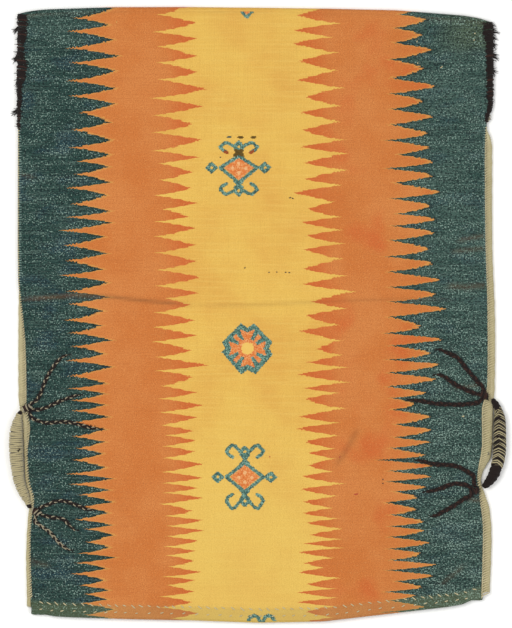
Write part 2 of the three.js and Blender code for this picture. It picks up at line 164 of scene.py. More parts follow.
def face_height(x, y):
    """Top of the face, lying over the hollow bag with the folds it has."""
    from_edge = np.minimum(x - face_left(y), face_right(y) - x)
    t = np.clip(from_edge / SLOPE, 0, 1)
    rise = 0.35 * t + 0.65 * t * (2 - t)
    z = SIDE_TOP + (FACE_TOP - 1.2 - SIDE_TOP) * rise
    loose = smoothstep(from_edge, 4, 60)
    z = z + loose * (0.55 * swells(x, y, 150, 3) + 0.35 * swells(x, y, 60, 4))
    z = z + smoothstep(from_edge, 1, 12) * 0.16 * swells(x, y, 16, 5)
    for path, width, height, _ in FOLDS:
        away, along = distance_to_path(x, y, path)
        fade = np.sqrt(np.clip(np.minimum(along, 1 - along) * 5 + 0.15, 0, 1))
        z = z + smoothstep(from_edge, -4, 8) * height * fade * np.exp(-(away / width) ** 2)
    from_mouth = y - mouth_at(x)
    z = z + 0.9 * (1 - smoothstep(from_mouth, HEM_DEPTH - 2, HEM_DEPTH + 2.5))
    z = z - 0.5 * np.exp(-((from_mouth - STITCH_ROWS[0][0]) / 1.6) ** 2)
    return z


def fold_shade(x, y):
    """How much darker the cloth is drawn: painted shade in its folds, and a darker band along the base
    fold.
    """
    shade = 0.0
    for path, width, _, darkness in FOLDS:
        away, along = distance_to_path(x, y, path)
        ends = np.clip(np.minimum(along, 1 - along) * 6 + 0.25, 0, 1)
        shade = shade + darkness * ends * np.exp(-(away / (0.75 * width)) ** 2)
    near_base = base_at(x) - y
    return shade + 0.3 * (1 - smoothstep(near_base, 1, 12)) * (0.6 + 0.4 * swells(x, y, 40, 6))


# ------------------------------------------------------------------ meshes

def make_mesh(name, points, faces, materials, body):
    mesh = bpy.data.meshes.new(name)
    mesh.from_pydata((np.asarray(points) / 1000).tolist(), [], faces)
    for material in materials:
        mesh.materials.append(material)
    mesh.polygons.foreach_set("use_smooth", [True] * len(mesh.polygons))
    piece = bpy.data.objects.new(name, mesh)
    bpy.context.scene.collection.objects.link(piece)
    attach(piece, body)
    return piece


def set_values(piece, name, kind, values):
    """Stores values per vertex for the material to read."""
    attribute = piece.data.attributes.new(name, kind, "POINT")
    key = {"FLOAT": "value", "FLOAT_VECTOR": "vector", "FLOAT_COLOR": "color"}[kind]
    attribute.data.foreach_set(key, np.asarray(values, dtype=float).ravel())


def unit(vectors):
    return vectors / np.maximum(np.linalg.norm(vectors, axis=-1, keepdims=True), 1e-9)


class Strands:
    """Yarns, cords and hairs gathered into one mesh."""

    def __init__(self):
        self.points, self.faces, self.materials, self.count = [], [], [], 0

    def add(self, path, radius, sides=6, material=0, outward=None, flatten=1.0, ring=False):
        """A round strand along the path. Its radius may change from point to point."""
        path = np.asarray(path, dtype=float)
        steps = len(path)
        radius = np.broadcast_to(np.asarray(radius, dtype=float), (steps,))
        if ring:
            tangent = unit(np.roll(path, -1, axis=0) - np.roll(path, 1, axis=0))
        else:
            tangent = unit(np.gradient(path, axis=0))
        if outward is None:
            outward = np.empty_like(path)
            start = np.array([0.0, 0.0, 1.0])
            if abs(tangent[0] @ start) > 0.9:
                start = np.array([1.0, 0.0, 0.0])
            for i in range(steps):
                start = start - (start @ tangent[i]) * tangent[i]
                start = start / np.linalg.norm(start)
                outward[i] = start
        outward = unit(outward - (outward * tangent).sum(axis=1, keepdims=True) * tangent)
        sideways = np.cross(tangent, outward)
        angles = np.arange(sides) * math.tau / sides
        around = (np.cos(angles)[None, :, None] * outward[:, None] * flatten
                  + np.sin(angles)[None, :, None] * sideways[:, None])
        self.points.append((path[:, None] + radius[:, None, None] * around).reshape(-1, 3))
        start_index = self.count
        rows = steps if ring else steps - 1
        for i in range(rows):
            a, b = start_index + i * sides, start_index + (i + 1) % steps * sides
            for j in range(sides):
                k = (j + 1) % sides
                self.faces.append((a + j, a + k, b + k, b + j))
        if not ring:
            last = start_index + (steps - 1) * sides
            self.faces.append(tuple(start_index + j for j in reversed(range(sides))))
            self.faces.append(tuple(last + j for j in range(sides)))
        added = rows * sides + (0 if ring else 2)
        self.materials.extend([material] * added)
        self.count += steps * sides

    def make(self, name, materials, body, replaced=()):
        piece = make_mesh(name, np.concatenate(self.points), self.faces, materials, body)
        piece.data.polygons.foreach_set("material_index", self.materials)
        if replaced:
            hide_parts(*replaced)
        return piece


def resample(points, spacing):
    """Points at even steps along a rounded line through these points."""
    points = np.asarray(points, dtype=float)
    dense = points
    for _ in range(3):
        middles = (dense[:-1] + dense[1:]) / 2
        quarter, three = (dense[:-1] + middles) / 2, (middles + dense[1:]) / 2
        inner = np.stack([quarter, three], axis=1).reshape(-1, points.shape[1])
        dense = np.concatenate([dense[:1], inner, dense[-1:]])
    lengths = np.concatenate([[0], np.cumsum(np.linalg.norm(np.diff(dense, axis=0), axis=1))])
    count = max(2, int(round(lengths[-1] / spacing)) + 1)
    stations = np.linspace(0, lengths[-1], count)
    return np.stack([np.interp(stations, lengths, dense[:, k])
                     for k in range(points.shape[1])], axis=1), stations


# ------------------------------------------------------------------ materials

class Nodes:
    """Short names for wiring one material's nodes."""

    def __init__(self, name):
        self.material = bpy.data.materials.new(name)
        self.material.use_nodes = True
        self.tree = self.material.node_tree
        self.shader = self.tree.nodes["Principled BSDF"]

    def node(self, kind, inputs=(), **settings):
        node = self.tree.nodes.new(kind)
        for key, value in settings.items():
            setattr(node, key, value)
        for socket, value in dict(inputs).items():
            if isinstance(value, bpy.types.NodeSocket):
                self.tree.links.new(value, node.inputs[socket])
            elif value is not None:
                node.inputs[socket].default_value = value
        return node

    def math(self, operation, a, b=None, c=None, clamp=False):
        node = self.node("ShaderNodeMath", {0: a, 1: b, 2: c}, operation=operation,
                         use_clamp=clamp)
        return node.outputs[0]

    def millimetres(self):
        """A point's place on its piece, in millimetres."""
        place = self.node("ShaderNodeTexCoord").outputs["Object"]
        return self.node("ShaderNodeVectorMath", {0: place, 1: (1000, 1000, 1000)},
                         operation="MULTIPLY").outputs[0]

    def vector(self, x, y, z=0.0):
        return self.node("ShaderNodeCombineXYZ", {0: x, 1: y, 2: z}).outputs[0]

    def noise(self, where, size, detail=2.0, roughness=0.5, stretch=(1, 1, 1)):
        """Noise from 0 to 1 whose grains are this many millimetres across."""
        scale = self.node("ShaderNodeVectorMath", {0: where, 1: [1 / (size * s) for s in stretch]},
                          operation="MULTIPLY").outputs[0]
        return self.node("ShaderNodeTexNoise", {
            "Vector": scale, "Scale": 1.0, "Detail": detail, "Roughness": roughness,
        }).outputs[0]

    def between(self, value, low, high, to_low=0.0, to_high=1.0):
        return self.node("ShaderNodeMapRange", {
            "Value": value, "From Min": low, "From Max": high,
            "To Min": to_low, "To Max": to_high,
        }, interpolation_type="SMOOTHSTEP").outputs[0]

    def mix(self, share, a, b, blend="MIX"):
        node = self.node("ShaderNodeMix", {0: share, 6: a, 7: b}, data_type="RGBA",
                         blend_type=blend)
        return node.outputs[2]

    def attribute(self, name):
        return self.node("ShaderNodeAttribute", attribute_name=name)

    def finish(self, colour, height=None, depth=0.3, roughness=0.9, sheen=0.25, sheen_tint=None):
        self.shader.inputs["Roughness"].default_value = roughness
        self.shader.inputs["Specular IOR Level"].default_value = 0.25
        self.shader.inputs["Sheen Weight"].default_value = sheen
        self.shader.inputs["Sheen Roughness"].default_value = 0.55
        if sheen_tint:
            self.shader.inputs["Sheen Tint"].default_value = sheen_tint
        self.tree.links.new(colour, self.shader.inputs["Base Color"])
        if height is not None:
            bump = self.node("ShaderNodeBump", {
                "Height": height, "Distance": depth / 1000, "Strength": 1.0})
            self.tree.links.new(bump.outputs[0], self.shader.inputs["Normal"])
        return self.material


def rgb(code):
    """Linear colour of a six-digit sRGB code."""
    channels = [int(code[i:i + 2], 16) / 255 for i in (0, 2, 4)]
    linear = [c / 12.92 if c <= 0.04045 else ((c + 0.055) / 1.055) ** 2.4 for c in channels]
    return (*linear, 1.0)


def yarn_material(name, dark, light, grain=0.8, sheen=0.3, roughness=0.9):
    """Spun wool or hair whose colour wanders between two tones."""
    nodes = Nodes(name)
    where = nodes.millimetres()
    fibres = nodes.noise(where, grain, 3, 0.7)
    drift = nodes.noise(where, 14, 2)
    share = nodes.math("MULTIPLY_ADD", nodes.between(fibres, 0.3, 0.7), 0.6,
                       nodes.math("MULTIPLY", drift, 0.45), clamp=True)
    colour = nodes.mix(share, rgb(dark), rgb(light))
    return nodes.finish(colour, fibres, 0.35, roughness, sheen)


def weave(nodes, x, y):
    """Ribs of the warp with the weft beaten down over them, from 0 to 1, and where it varies."""
    place = nodes.vector(x, y)
    wander = nodes.math("MULTIPLY", nodes.noise(place, 9, 1), 2.2)
    rib = nodes.math("SINE", nodes.math("MULTIPLY", nodes.math("ADD", x, wander), math.tau / 2.3))
    pick = nodes.math("SINE", nodes.math("MULTIPLY", nodes.math("ADD", y, wander), math.tau / 1.9))
    crossing = nodes.math("MULTIPLY", rib, pick)
    grain = nodes.noise(place, 1.5, 2, 0.6, (1.0, 0.7, 1))
    height = nodes.math("MULTIPLY_ADD", crossing, 0.22, nodes.math("MULTIPLY_ADD", rib, 0.12, grain))
    return height, grain, place


TEAL, TEAL_DARK, TEAL_BLUE, TEAL_LIGHT = rgb("28443E"), rgb("0D1A1C"), rgb("25404A"), rgb("8AA397")
TEAL_FADED, TEAL_OLIVE = rgb("557066"), rgb("5B6544")
ORANGE, ORANGE_RED, ORANGE_PALE = rgb("C97538"), rgb("CA602F"), rgb("D08245")
YELLOW, YELLOW_DEEP, YELLOW_PALE = rgb("E1B758"), rgb("D9A54E"), rgb("E6C166")


def teal_weave(nodes, place, grain, x, y):
    """Blue-green wool, dark between the yarns and flecked where the pale warp shows."""
    patch = nodes.noise(place, 40, 3, 0.6, (1.5, 0.7, 1))
    colour = nodes.mix(nodes.between(patch, 0.48, 0.66, 0.0, 0.8), TEAL, TEAL_BLUE)
    faded = nodes.math("MAXIMUM", nodes.between(x, 150, 230, 0.0, 0.42),
                       nodes.between(y, 352, 392, 0.0, 0.36))
    faded = nodes.math("MULTIPLY", faded, nodes.between(nodes.noise(place, 55, 2), 0.3, 0.6, 0.45))
    colour = nodes.mix(faded, colour, TEAL_FADED)
    corner = nodes.math("MULTIPLY", nodes.between(x, 225, 290), nodes.between(y, 340, 375))
    colour = nodes.mix(nodes.math("MULTIPLY", corner, 0.5), colour, TEAL_OLIVE)
    light_pick = nodes.noise(place, 4, 2, 0.6, (14, 0.6, 1))
    colour = nodes.mix(nodes.between(light_pick, 0.45, 0.7, 0.0, 0.22), colour, TEAL_LIGHT)
    dark_pick = nodes.noise(nodes.vector(x, y, 30.0), 5, 2, 0.6, (11, 0.5, 1))
    colour = nodes.mix(nodes.between(dark_pick, 0.55, 0.72, 0.0, 0.6), colour, TEAL_DARK)
    dark = nodes.noise(nodes.vector(x, y, 7.0), 2.4, 1, 0.5, (1.3, 0.8, 1))
    low_right = nodes.math("MULTIPLY", nodes.between(x, 0, 50), nodes.between(y, 60, -60, 0.0, 0.035))
    dark = nodes.math("SUBTRACT", dark, low_right)
    colour = nodes.mix(nodes.between(dark, 0.53, 0.40, 0.0, 0.75), colour, TEAL_DARK)
    colour = nodes.mix(nodes.between(grain, 0.5, 0.36, 0.0, 0.6), colour, TEAL_DARK)
    worn = nodes.noise(place, 18, 3, 0.6, (2.2, 0.7, 1))
    shown = nodes.math("ADD", nodes.noise(place, 2.0, 1, 0.6), low_right)
    shown = nodes.math("ADD", shown, nodes.between(worn, 0.35, 0.65, -0.035, 0.06))
    return nodes.mix(nodes.between(shown, 0.61, 0.71, 0.0, 0.85), colour, TEAL_LIGHT)


def orange_weave(nodes, place, grain, redness):
    patch = nodes.noise(place, 90, 3, 0.6)
    colour = nodes.mix(nodes.between(patch, 0.35, 0.65), ORANGE, ORANGE_PALE)
    streak = nodes.noise(place, 3.5, 2, 0.6, (22, 0.7, 1))
    colour = nodes.mix(nodes.math("MULTIPLY", nodes.between(streak, 0.45, 0.7), 0.28), colour,
                       rgb("BA6C38"))
    colour = nodes.mix(redness, colour, ORANGE_RED)
    spots = nodes.noise(place, 2.4, 1, 0.6, (1.2, 0.8, 1))
    colour = nodes.mix(nodes.between(spots, 0.56, 0.7, 0.0, 0.35), colour, rgb("E09A5A"))
    return nodes.mix(nodes.between(grain, 0.58, 0.34, 0.0, 0.55), colour, rgb("A05626"))


def yellow_weave(nodes, place, grain, y):
    patch = nodes.noise(place, 110, 3, 0.6)
    colour = nodes.mix(nodes.between(patch, 0.35, 0.68), YELLOW, YELLOW_DEEP)
    streak = nodes.noise(place, 4, 2, 0.6, (20, 0.7, 1))
    colour = nodes.mix(nodes.math("MULTIPLY", nodes.between(streak, 0.42, 0.7), 0.4), colour,
                       YELLOW_PALE)
    warps = nodes.noise(place, 3, 2, 0.6, (0.7, 25, 1))
    colour = nodes.mix(nodes.between(warps, 0.5, 0.7, 0.0, 0.22), colour, rgb("D0A24C"))
    colour = nodes.mix(nodes.between(y, -90, -300, 0.0, 0.5), colour, rgb("E4C263"))
    return nodes.mix(nodes.between(grain, 0.58, 0.34, 0.0, 0.34), colour, rgb("B08434"))


def kilim_material():
    """Five upright bands of colour that meet in long woven teeth."""
    nodes = Nodes("kilim_wool")
    axes = nodes.node("ShaderNodeSeparateXYZ", {0: nodes.attribute("weave").outputs["Vector"]})
    x, y = axes.outputs[0], axes.outputs[1]
    height, grain, place = weave(nodes, x, y)

    pick = nodes.math("FLOOR", nodes.math("DIVIDE", y, 1.2))
    ragged = nodes.node("ShaderNodeTexWhiteNoise", {1: pick}, noise_dimensions="1D").outputs[0]
    column = nodes.math("MULTIPLY", nodes.math("ROUND", nodes.math("DIVIDE", x, 2.3)), 2.3)
    stepped = nodes.math("ADD", column, nodes.math("MULTIPLY_ADD", ragged, 5.0, -2.5))
    uneven = nodes.node("ShaderNodeTexWhiteNoise", {1: column}, noise_dimensions="1D").outputs[0]

    tables = {}
    for key in ("teeth_count", "teeth_tip", "teeth_root"):
        source = nodes.attribute(key)
        split = nodes.node("ShaderNodeSeparateColor", {0: source.outputs["Color"]})
        tables[key] = [*split.outputs, source.outputs["Alpha"]]

    def past_boundary(index, fullness):
        """Signed distance past one toothed boundary, and how far into its teeth this is."""
        count = nodes.math("MULTIPLY_ADD", uneven, 0.07, tables["teeth_count"][index])
        phase = nodes.math("FRACT", count)
        share = nodes.math("SUBTRACT", 1.0, nodes.math(
            "ABSOLUTE", nodes.math("MULTIPLY_ADD", phase, 2.0, -1.0)))
        share = nodes.math("POWER", share, fullness)
        root, tip = tables["teeth_root"][index], tables["teeth_tip"][index]
        reach = nodes.math("SUBTRACT", tip, root)
        edge = nodes.math("MULTIPLY_ADD", share, reach, root)
        return nodes.math("SUBTRACT", stepped, edge), nodes.math(
            "DIVIDE", nodes.math("SUBTRACT", x, root), reach)

    distances, depths = zip(*[past_boundary(i, g) for i, g in enumerate((0.66, 0.72, 0.74, 1.5))])
    inside = [nodes.between(d, -0.6, 0.6) for d in distances]

    red_patch = nodes.between(nodes.noise(place, 70, 2), 0.5, 0.72, 0.0, 0.7)
    right_bias = nodes.between(x, 60, 130, 0.0, 1.0)
    redness = nodes.math("MULTIPLY", red_patch, right_bias)
    for depth in (depths[1], depths[2]):
        finger = nodes.between(depth, 0.15, 0.8, 0.0, 0.75)
        redness = nodes.math("ADD", redness, nodes.math(
            "MULTIPLY", finger, nodes.between(depth, 1.4, 1.2)), clamp=True)

    teal = teal_weave(nodes, place, grain, x, y)
    orange = orange_weave(nodes, place, grain, redness)
    yellow = yellow_weave(nodes, place, grain, y)
    colour = teal
    for field, share in zip((orange, yellow, orange, teal), inside):
        colour = nodes.mix(share, colour, field)

    for index, side in ((0, 1), (3, -1)):
        outside = nodes.math("MULTIPLY", distances[index], side)
        # Painted shade: the teal is drawn darker beside the teeth, fully within 3 mm of the edge and
        # fading out by 10 mm.
        rim = nodes.math("MULTIPLY", nodes.between(outside, 0.6, -0.6),
                         nodes.between(outside, -10.0, -3.0, 0.0, 0.5))
        colour = nodes.mix(rim, colour, TEAL_DARK)
        edging = nodes.math("MULTIPLY", nodes.between(outside, -1.0, 0.5),
                            nodes.between(outside, 7.5, 3.5, 0.0, 0.55))
        colour = nodes.mix(edging, colour, rgb("CF9C50"))

    hem = nodes.attribute("hem").outputs["Fac"]
    colour = nodes.mix(nodes.math("MULTIPLY", hem, 0.24), colour, rgb("7C8458"))
    # Painted shade: the folds and the band along the base fold darken the colour towards brown.
    shade = nodes.attribute("shade").outputs["Fac"]
    colour = nodes.mix(nodes.math("MULTIPLY", shade, 0.9, clamp=True), colour, rgb("6E4A2C"))
    return nodes.finish(colour, height, 0.55, 0.95, 0.0)


# ------------------------------------------------------------------ teeth between the colours

# The teeth crowd together towards the mouth. Each boundary says where its tips and roots stand
# at the mouth, in the middle and at the base, and how far single teeth stray from that.
TEETH_AT = (-400, 30, 400)
TOOTH_SPACING = (13, 20, 22)
BOUNDARIES = [
    {"seed": 21, "tip": (-195, -205, -190), "root": (-235, -260, -250), "stray": (6, 7)},
    {"seed": 22, "tip": (-80, -84, -80), "root": (-122, -140, -140), "stray": (7, 6)},
    {"seed": 23, "tip": (57, 64, 55), "root": (105, 123, 107), "stray": (7, 6)},
    {"seed": 24, "tip": (178, 176, 184), "root": (220, 246, 230), "stray": (6, 9)},
]


def teeth_tables(y):
    """Tooth count, tip x and root x of the four boundaries at each height y."""
    counts, tips, roots = [], [], []
    for boundary in BOUNDARIES:
        pick = np.random.default_rng(boundary["seed"])
        stations = [-470.0]
        while stations[-1] < 700:
            spacing = np.interp(stations[-1], TEETH_AT, TOOTH_SPACING)
            stations.append(stations[-1] + spacing * pick.uniform(0.8, 1.2))
        gaps = np.array(stations)
        middles = gaps[:-1] + np.diff(gaps) * pick.uniform(0.38, 0.62, len(gaps) - 1)
        tip_stray, root_stray = boundary["stray"]
        tip = np.interp(middles, TEETH_AT, boundary["tip"])
        tip = tip + pick.normal(0, tip_stray, len(middles))
        root = np.interp(gaps, TEETH_AT, boundary["root"])
        root = root + pick.normal(0, root_stray, len(gaps))
        ends = np.concatenate([gaps, middles])
        numbers = np.concatenate([np.arange(len(gaps)), np.arange(len(middles)) + 0.5])
        order = np.argsort(ends)
        counts.append(np.interp(y, ends[order], numbers[order]))
        tips.append(np.interp(y, middles, tip))
        roots.append(np.interp(y, gaps, root))
    return [np.stack(table, axis=-1) for table in (counts, tips, roots)]


# ------------------------------------------------------------------ kilim

RETURN_END = round(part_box("kilim_turned_under")[0].y * 1000, 3)
HEM_TURN = CLOTH / 2 + 0.15
COLUMNS = 235
CROWDING = 0.175                  # how much closer together the columns stand at the sides
UNDER_HEM_ROWS, HEM_TURN_ROWS, FACE_ROWS, FOLD_ROWS, UNDER_ROWS = 10, 9, 236, 11, 39
FACE_START = UNDER_HEM_ROWS + HEM_TURN_ROWS
FACE_STOP = FACE_START + FACE_ROWS
CORNER_LIFT = 1.5                 # the binding's lower turns lift the folded-under cloth
CORNER_LIFT_FROM, CORNER_LIFT_FULL = 262, 280
OVER_GROOVE = 0.9                 # the woven edge bulges a little towards the back's rolled edge

# The side edges are rounded over: each outermost column, its move along x, and its move down
# as a share of half the cloth's thickness.
EDGE_ROUNDING = [(0, 0.3, 0.66), (1, 0, 0.21), (-1, -0.3, 0.66), (-2, 0, 0.21)]


def kilim_rows():
    """
    Middle of the cloth from the hem's inner end, over the face, to its end beneath, with half
    its thickness outwards, the place of each point in the weave and the length up to it.
    """
    share = np.linspace(0, 1, COLUMNS)[None, :]
    share = share - CROWDING * np.sin(math.tau * share) / math.tau
    nominal = LEFT + (RIGHT - LEFT) * share
    mouth_y, base_y = mouth_at(nominal), base_at(nominal)
    half = CLOTH / 2

    def x_at(y):
        left, right = face_left(y) - OVER_GROOVE, face_right(y) + OVER_GROOVE
        return left + (right - left) * share

    def middle(y):
        return face_height(x_at(y), y) - half

    def part(start, end, count):
        return np.linspace(start, end, count)[:, None]

    hem_y = mouth_y + HEM_TURN + half
    hem_top = middle(hem_y)
    under_hem = part(1, 0, UNDER_HEM_ROWS)
    y = [hem_y + (HEM_DEPTH - HEM_TURN - half) * under_hem]
    z = [np.minimum(middle(y[0]), hem_top) - 2 * HEM_TURN]
    turn = np.radians(part(262, 98, HEM_TURN_ROWS))
    y.append(hem_y + HEM_TURN * np.cos(turn))
    z.append(hem_top - HEM_TURN + HEM_TURN * np.sin(turn))

    fold_top = middle(base_y - 7)
    from_side = np.minimum(share, 1 - share) * (RIGHT - LEFT)
    lift = CORNER_LIFT * (1 - smoothstep(from_side, 12, 16))
    under_z = half + lift
    radius = (fold_top - under_z) / 2
    fold_y = base_y - radius - half
    face_y = hem_y + (fold_y - hem_y) * part(0, 1, FACE_ROWS)
    y.append(face_y)
    z.append(middle(face_y))
    radius = (z[-1][-1:] - under_z) / 2
    turn = np.radians(part(80, -80, FOLD_ROWS))
    y.append(fold_y + radius * np.cos(turn))
    z.append((z[-1][-1:] + under_z) / 2 + radius * np.sin(turn))
    under_y = fold_y + (RETURN_END - fold_y) * part(0, 1, UNDER_ROWS)
    y.append(under_y)
    z.append(half + lift * smoothstep(under_y, CORNER_LIFT_FROM, CORNER_LIFT_FULL))
    y, z = np.concatenate(y), np.concatenate(z)

    step = np.hypot(np.diff(y, axis=0), np.diff(z, axis=0))
    along = np.concatenate([np.zeros((1, COLUMNS)), np.cumsum(step, axis=0)])
    row = np.arange(len(y))[:, None]
    woven_y = np.where(row < FACE_START, mouth_y + along - along[FACE_START - 1], y)
    woven_y = np.where(row >= FACE_STOP, fold_y + along - along[FACE_STOP - 1], woven_y)
    dy, dz = np.gradient(y, axis=0), np.gradient(z, axis=0)
    size = np.hypot(dy, dz)
    return x_at(y), y, z, -dz / size * half, dy / size * half, woven_y, along


def layered_grid(outer_shape):
    """Faces of a cloth of two layers, the inner one at half the detail, joined at the rim."""
    rows, columns = outer_shape
    inner_rows, inner_columns = (rows + 1) // 2, (columns + 1) // 2
    first_inner = rows * columns

    def outer(i, j):
        return i * columns + j

    def inner(i, j):
        return first_inner + i * inner_columns + j

    i, j = np.meshgrid(np.arange(rows - 1), np.arange(columns - 1), indexing="ij")
    quads = np.stack([outer(i, j), outer(i, j + 1), outer(i + 1, j + 1), outer(i + 1, j)], -1)
    faces = quads.reshape(-1, 4).tolist()
    i, j = np.meshgrid(np.arange(inner_rows - 1), np.arange(inner_columns - 1), indexing="ij")
    quads = np.stack([inner(i, j), inner(i + 1, j), inner(i + 1, j + 1), inner(i, j + 1)], -1)
    faces += quads.reshape(-1, 4).tolist()

    rim = [(0, j) for j in range(0, columns - 1, 2)]
    rim += [(i, columns - 1) for i in range(0, rows - 1, 2)]
    rim += [(rows - 1, j) for j in range(columns - 1, 0, -2)]
    rim += [(i, 0) for i in range(rows - 1, 0, -2)]
    for (i, j), (i2, j2) in zip(rim, rim[1:] + rim[:1]):
        start, middle, end = outer(i, j), outer((i + i2) // 2, (j + j2) // 2), outer(i2, j2)
        low, high = inner(i // 2, j // 2), inner(i2 // 2, j2 // 2)
        faces += [(middle, start, low), (end, middle, high), (middle, low, high)]
    return faces


def make_kilim():
    x, y, z, ny, nz, woven_y, along = kilim_rows()
    outer = np.stack([x, y + ny, z + nz], axis=-1)
    for column, inwards, share_down in EDGE_ROUNDING:
        outer[:, column, 0] += inwards
        outer[:, column, 1] -= share_down * ny[:, column]
        outer[:, column, 2] -= share_down * nz[:, column]
    inner = np.stack([x, y - ny, z - nz], axis=-1)[::2, ::2]
    rows, columns = x.shape
    points = np.concatenate([outer.reshape(-1, 3), inner.reshape(-1, 3)])
    kilim = make_mesh("kilim_cloth", points, layered_grid((rows, columns)),
                      [kilim_material()], "bag")

    def both(values):
        return np.concatenate([values.reshape(-1, *values.shape[2:]),
                               values[::2, ::2].reshape(-1, *values.shape[2:])])

    set_values(kilim, "weave", "FLOAT_VECTOR",
               np.stack([both(x), both(woven_y), both(0 * x)], axis=1))
    for name, table in zip(("teeth_count", "teeth_tip", "teeth_root"), teeth_tables(woven_y)):
        set_values(kilim, name, "FLOAT_COLOR", both(table))
    on_face = np.zeros_like(x)
    on_face[FACE_START:FACE_STOP] = 1
    set_values(kilim, "shade", "FLOAT", both(fold_shade(x, y) * on_face))
    set_values(kilim, "hem", "FLOAT", both(1 - smoothstep(woven_y - mouth_at(x), 16, 22)))

    share = np.broadcast_to(np.linspace(0, 1, columns), x.shape)
    length = along / along[-1:]
    uv_outer = np.stack([0.01 + 0.9 * share, 0.01 + 0.98 * length], axis=-1)
    uv_inner = np.stack([0.93 + 0.06 * share, 0.01 + 0.98 * length], axis=-1)[::2, ::2]
    uv_points = np.concatenate([uv_outer.reshape(-1, 2), uv_inner.reshape(-1, 2)])
    corners = np.empty(len(kilim.data.loops), dtype=int)
    kilim.data.loops.foreach_get("vertex_index", corners)
    uv_layer = kilim.data.uv_layers.new(name="OFBake")
    uv_layer.data.foreach_set("uv", uv_points[corners].ravel())
    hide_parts("kilim_panel", "kilim_turned_under")
    return kilim, float((x[:, -1] - x[:, 0]).mean() / 1000), float(along[-1].mean() / 1000)


kilim, kilim_width, kilim_length = make_kilim()


# ------------------------------------------------------------------ cream back

def cream_material():
    """Plain-woven undyed wool, a little grey with use."""
    nodes = Nodes("cream_cloth")
    where = nodes.millimetres()
    axes = nodes.node("ShaderNodeSeparateXYZ", {0: where})
    height, grain, _ = weave(nodes, axes.outputs[0], axes.outputs[1])
    patch = nodes.noise(where, 60, 3, 0.6)
    colour = nodes.mix(nodes.between(patch, 0.35, 0.7), rgb("BFB68E"), rgb("AEA47A"))
    colour = nodes.mix(nodes.between(grain, 0.6, 0.3, 0.0, 0.5), colour, rgb("8F825C"))
    stripe = nodes.noise(where, 5, 2, 0.6, (0.6, 30, 3))
    colour = nodes.mix(nodes.between(stripe, 0.55, 0.7, 0.0, 0.25), colour, rgb("E6DEC4"))
    return nodes.finish(colour, height, 0.5, 0.95, 0.1)


LAP_START, LAP_TOP = 232, 244     # the back rises here to lap over the folded-under cloth
ROLLED_COLUMNS = 10               # points across each rolled edge
MOUTH_ROWS = 13                   # rows that close up to follow the mouth


def coming_out(outer, edge, y):
    """The rolled edge's place, which comes out from under the face below the binding."""
    return outer + (edge - outer) * smoothstep(y, BACK_END - 34, BACK_END - 4)


def back_path(y):
    """The back's middle line across the bag at y, from its left rolled edge to its right one."""
    half = BACK_CLOTH / 2
    under = (CLOTH + 0.35) * smoothstep(y, LAP_START, LAP_TOP)
    lines = []
    for rolled, edge, inwards in ((back_left, face_left(y), 1), (back_right, face_right(y), -1)):
        outer = coming_out(rolled(y), edge - inwards * 0.5, y)
        margin = (edge - outer) * inwards
        showing = smoothstep(margin, 1.5, 4.5)
        top = under + half + showing * (LIP_TOP - 2 * half) + (1 - showing) * 0.9
        radius = (top - under - half) / 2
        end = outer + inwards * np.maximum(showing * (margin - 1.0), 2.4)
        turn = np.radians(np.linspace(100, 260, 9))
        reach = np.minimum(radius, np.maximum(half + 0.3, margin * 0.5))
        arc_x = outer + inwards * (half + reach + reach * np.cos(turn))
        arc_z = under + half + radius + radius * np.sin(turn)
        line_x = np.concatenate([[end], arc_x, outer + inwards * np.array([6, 12, 20, 30])])
        sag = 0.25 * showing
        line_z = np.concatenate([[top - sag], arc_z, np.full(4, under + half)])
        lines.append(np.stack([line_x, line_z], axis=1))
    left, right = lines[0], lines[1][::-1]
    across = np.linspace(left[-1, 0], right[0, 0], 16)[1:-1]
    centre = np.stack([across, np.full(14, under + half)], axis=1)
    return np.concatenate([left, centre, right])


def make_back():
    rows = np.concatenate([np.linspace(-385, -345, MOUTH_ROWS + 1)[:-1],
                           np.linspace(-345, BACK_END, 196)])
    paths = np.array([back_path(y) for y in rows])
    x, z = paths[..., 0], paths[..., 1]
    along_y = np.broadcast_to(rows[:, None], x.shape).copy()
    from_side = np.minimum(x[0] - LEFT, RIGHT - x[0])
    first = mouth_at(x[0]) + 4 + 7 * (1 - smoothstep(from_side, 10, 40))
    for i in range(MOUTH_ROWS):
        along_y[i] = first + (along_y[MOUTH_ROWS] - first) * i / MOUTH_ROWS
    column = np.arange(x.shape[1])
    at_side = (column < ROLLED_COLUMNS) | (column >= x.shape[1] - ROLLED_COLUMNS)
    z = z + at_side * 0.25 * swells(x, along_y, 13, 8) * smoothstep(z, 1.5, 5)
    x = x + at_side * 0.3 * swells(0 * x, along_y, 11, 9)
    dx, dz = np.gradient(x, axis=1), np.gradient(z, axis=1)
    size = np.hypot(dx, dz)
    nx, nz = -dz / size * BACK_CLOTH / 2, dx / size * BACK_CLOTH / 2
    upper = np.stack([x + nx, along_y, z + nz], axis=-1)
    lower = np.stack([x - nx, along_y, z - nz], axis=-1)
    count, width = x.shape
    points = np.concatenate([upper.reshape(-1, 3), lower.reshape(-1, 3)])
    i, j = np.meshgrid(np.arange(count - 1), np.arange(width - 1), indexing="ij")
    a = (i * width + j).ravel()
    top = np.stack([a, a + 1, a + width + 1, a + width], -1)
    faces = top.tolist() + (top[:, ::-1] + count * width).tolist()
    rim = list(range(width)) + [(i + 1) * width - 1 for i in range(1, count)]
    rim += [(count - 1) * width + j for j in range(width - 2, -1, -1)]
    rim += [i * width for i in range(count - 2, 0, -1)]
    for p, q in zip(rim, rim[1:] + rim[:1]):
        faces.append((q, p, p + count * width, q + count * width))
    back = make_mesh("back_cloth", points, faces, [cream_material()], "bag")
    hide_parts("back_panel")
    length = np.hypot(np.diff(x, axis=1), np.diff(z, axis=1)).sum(axis=1).mean()
    return back, float(length / 1000), float((rows[-1] - first.mean()) / 1000)


back, back_width, back_length = make_back()


# ------------------------------------------------------------------ brocaded motifs

CELL = 1.15


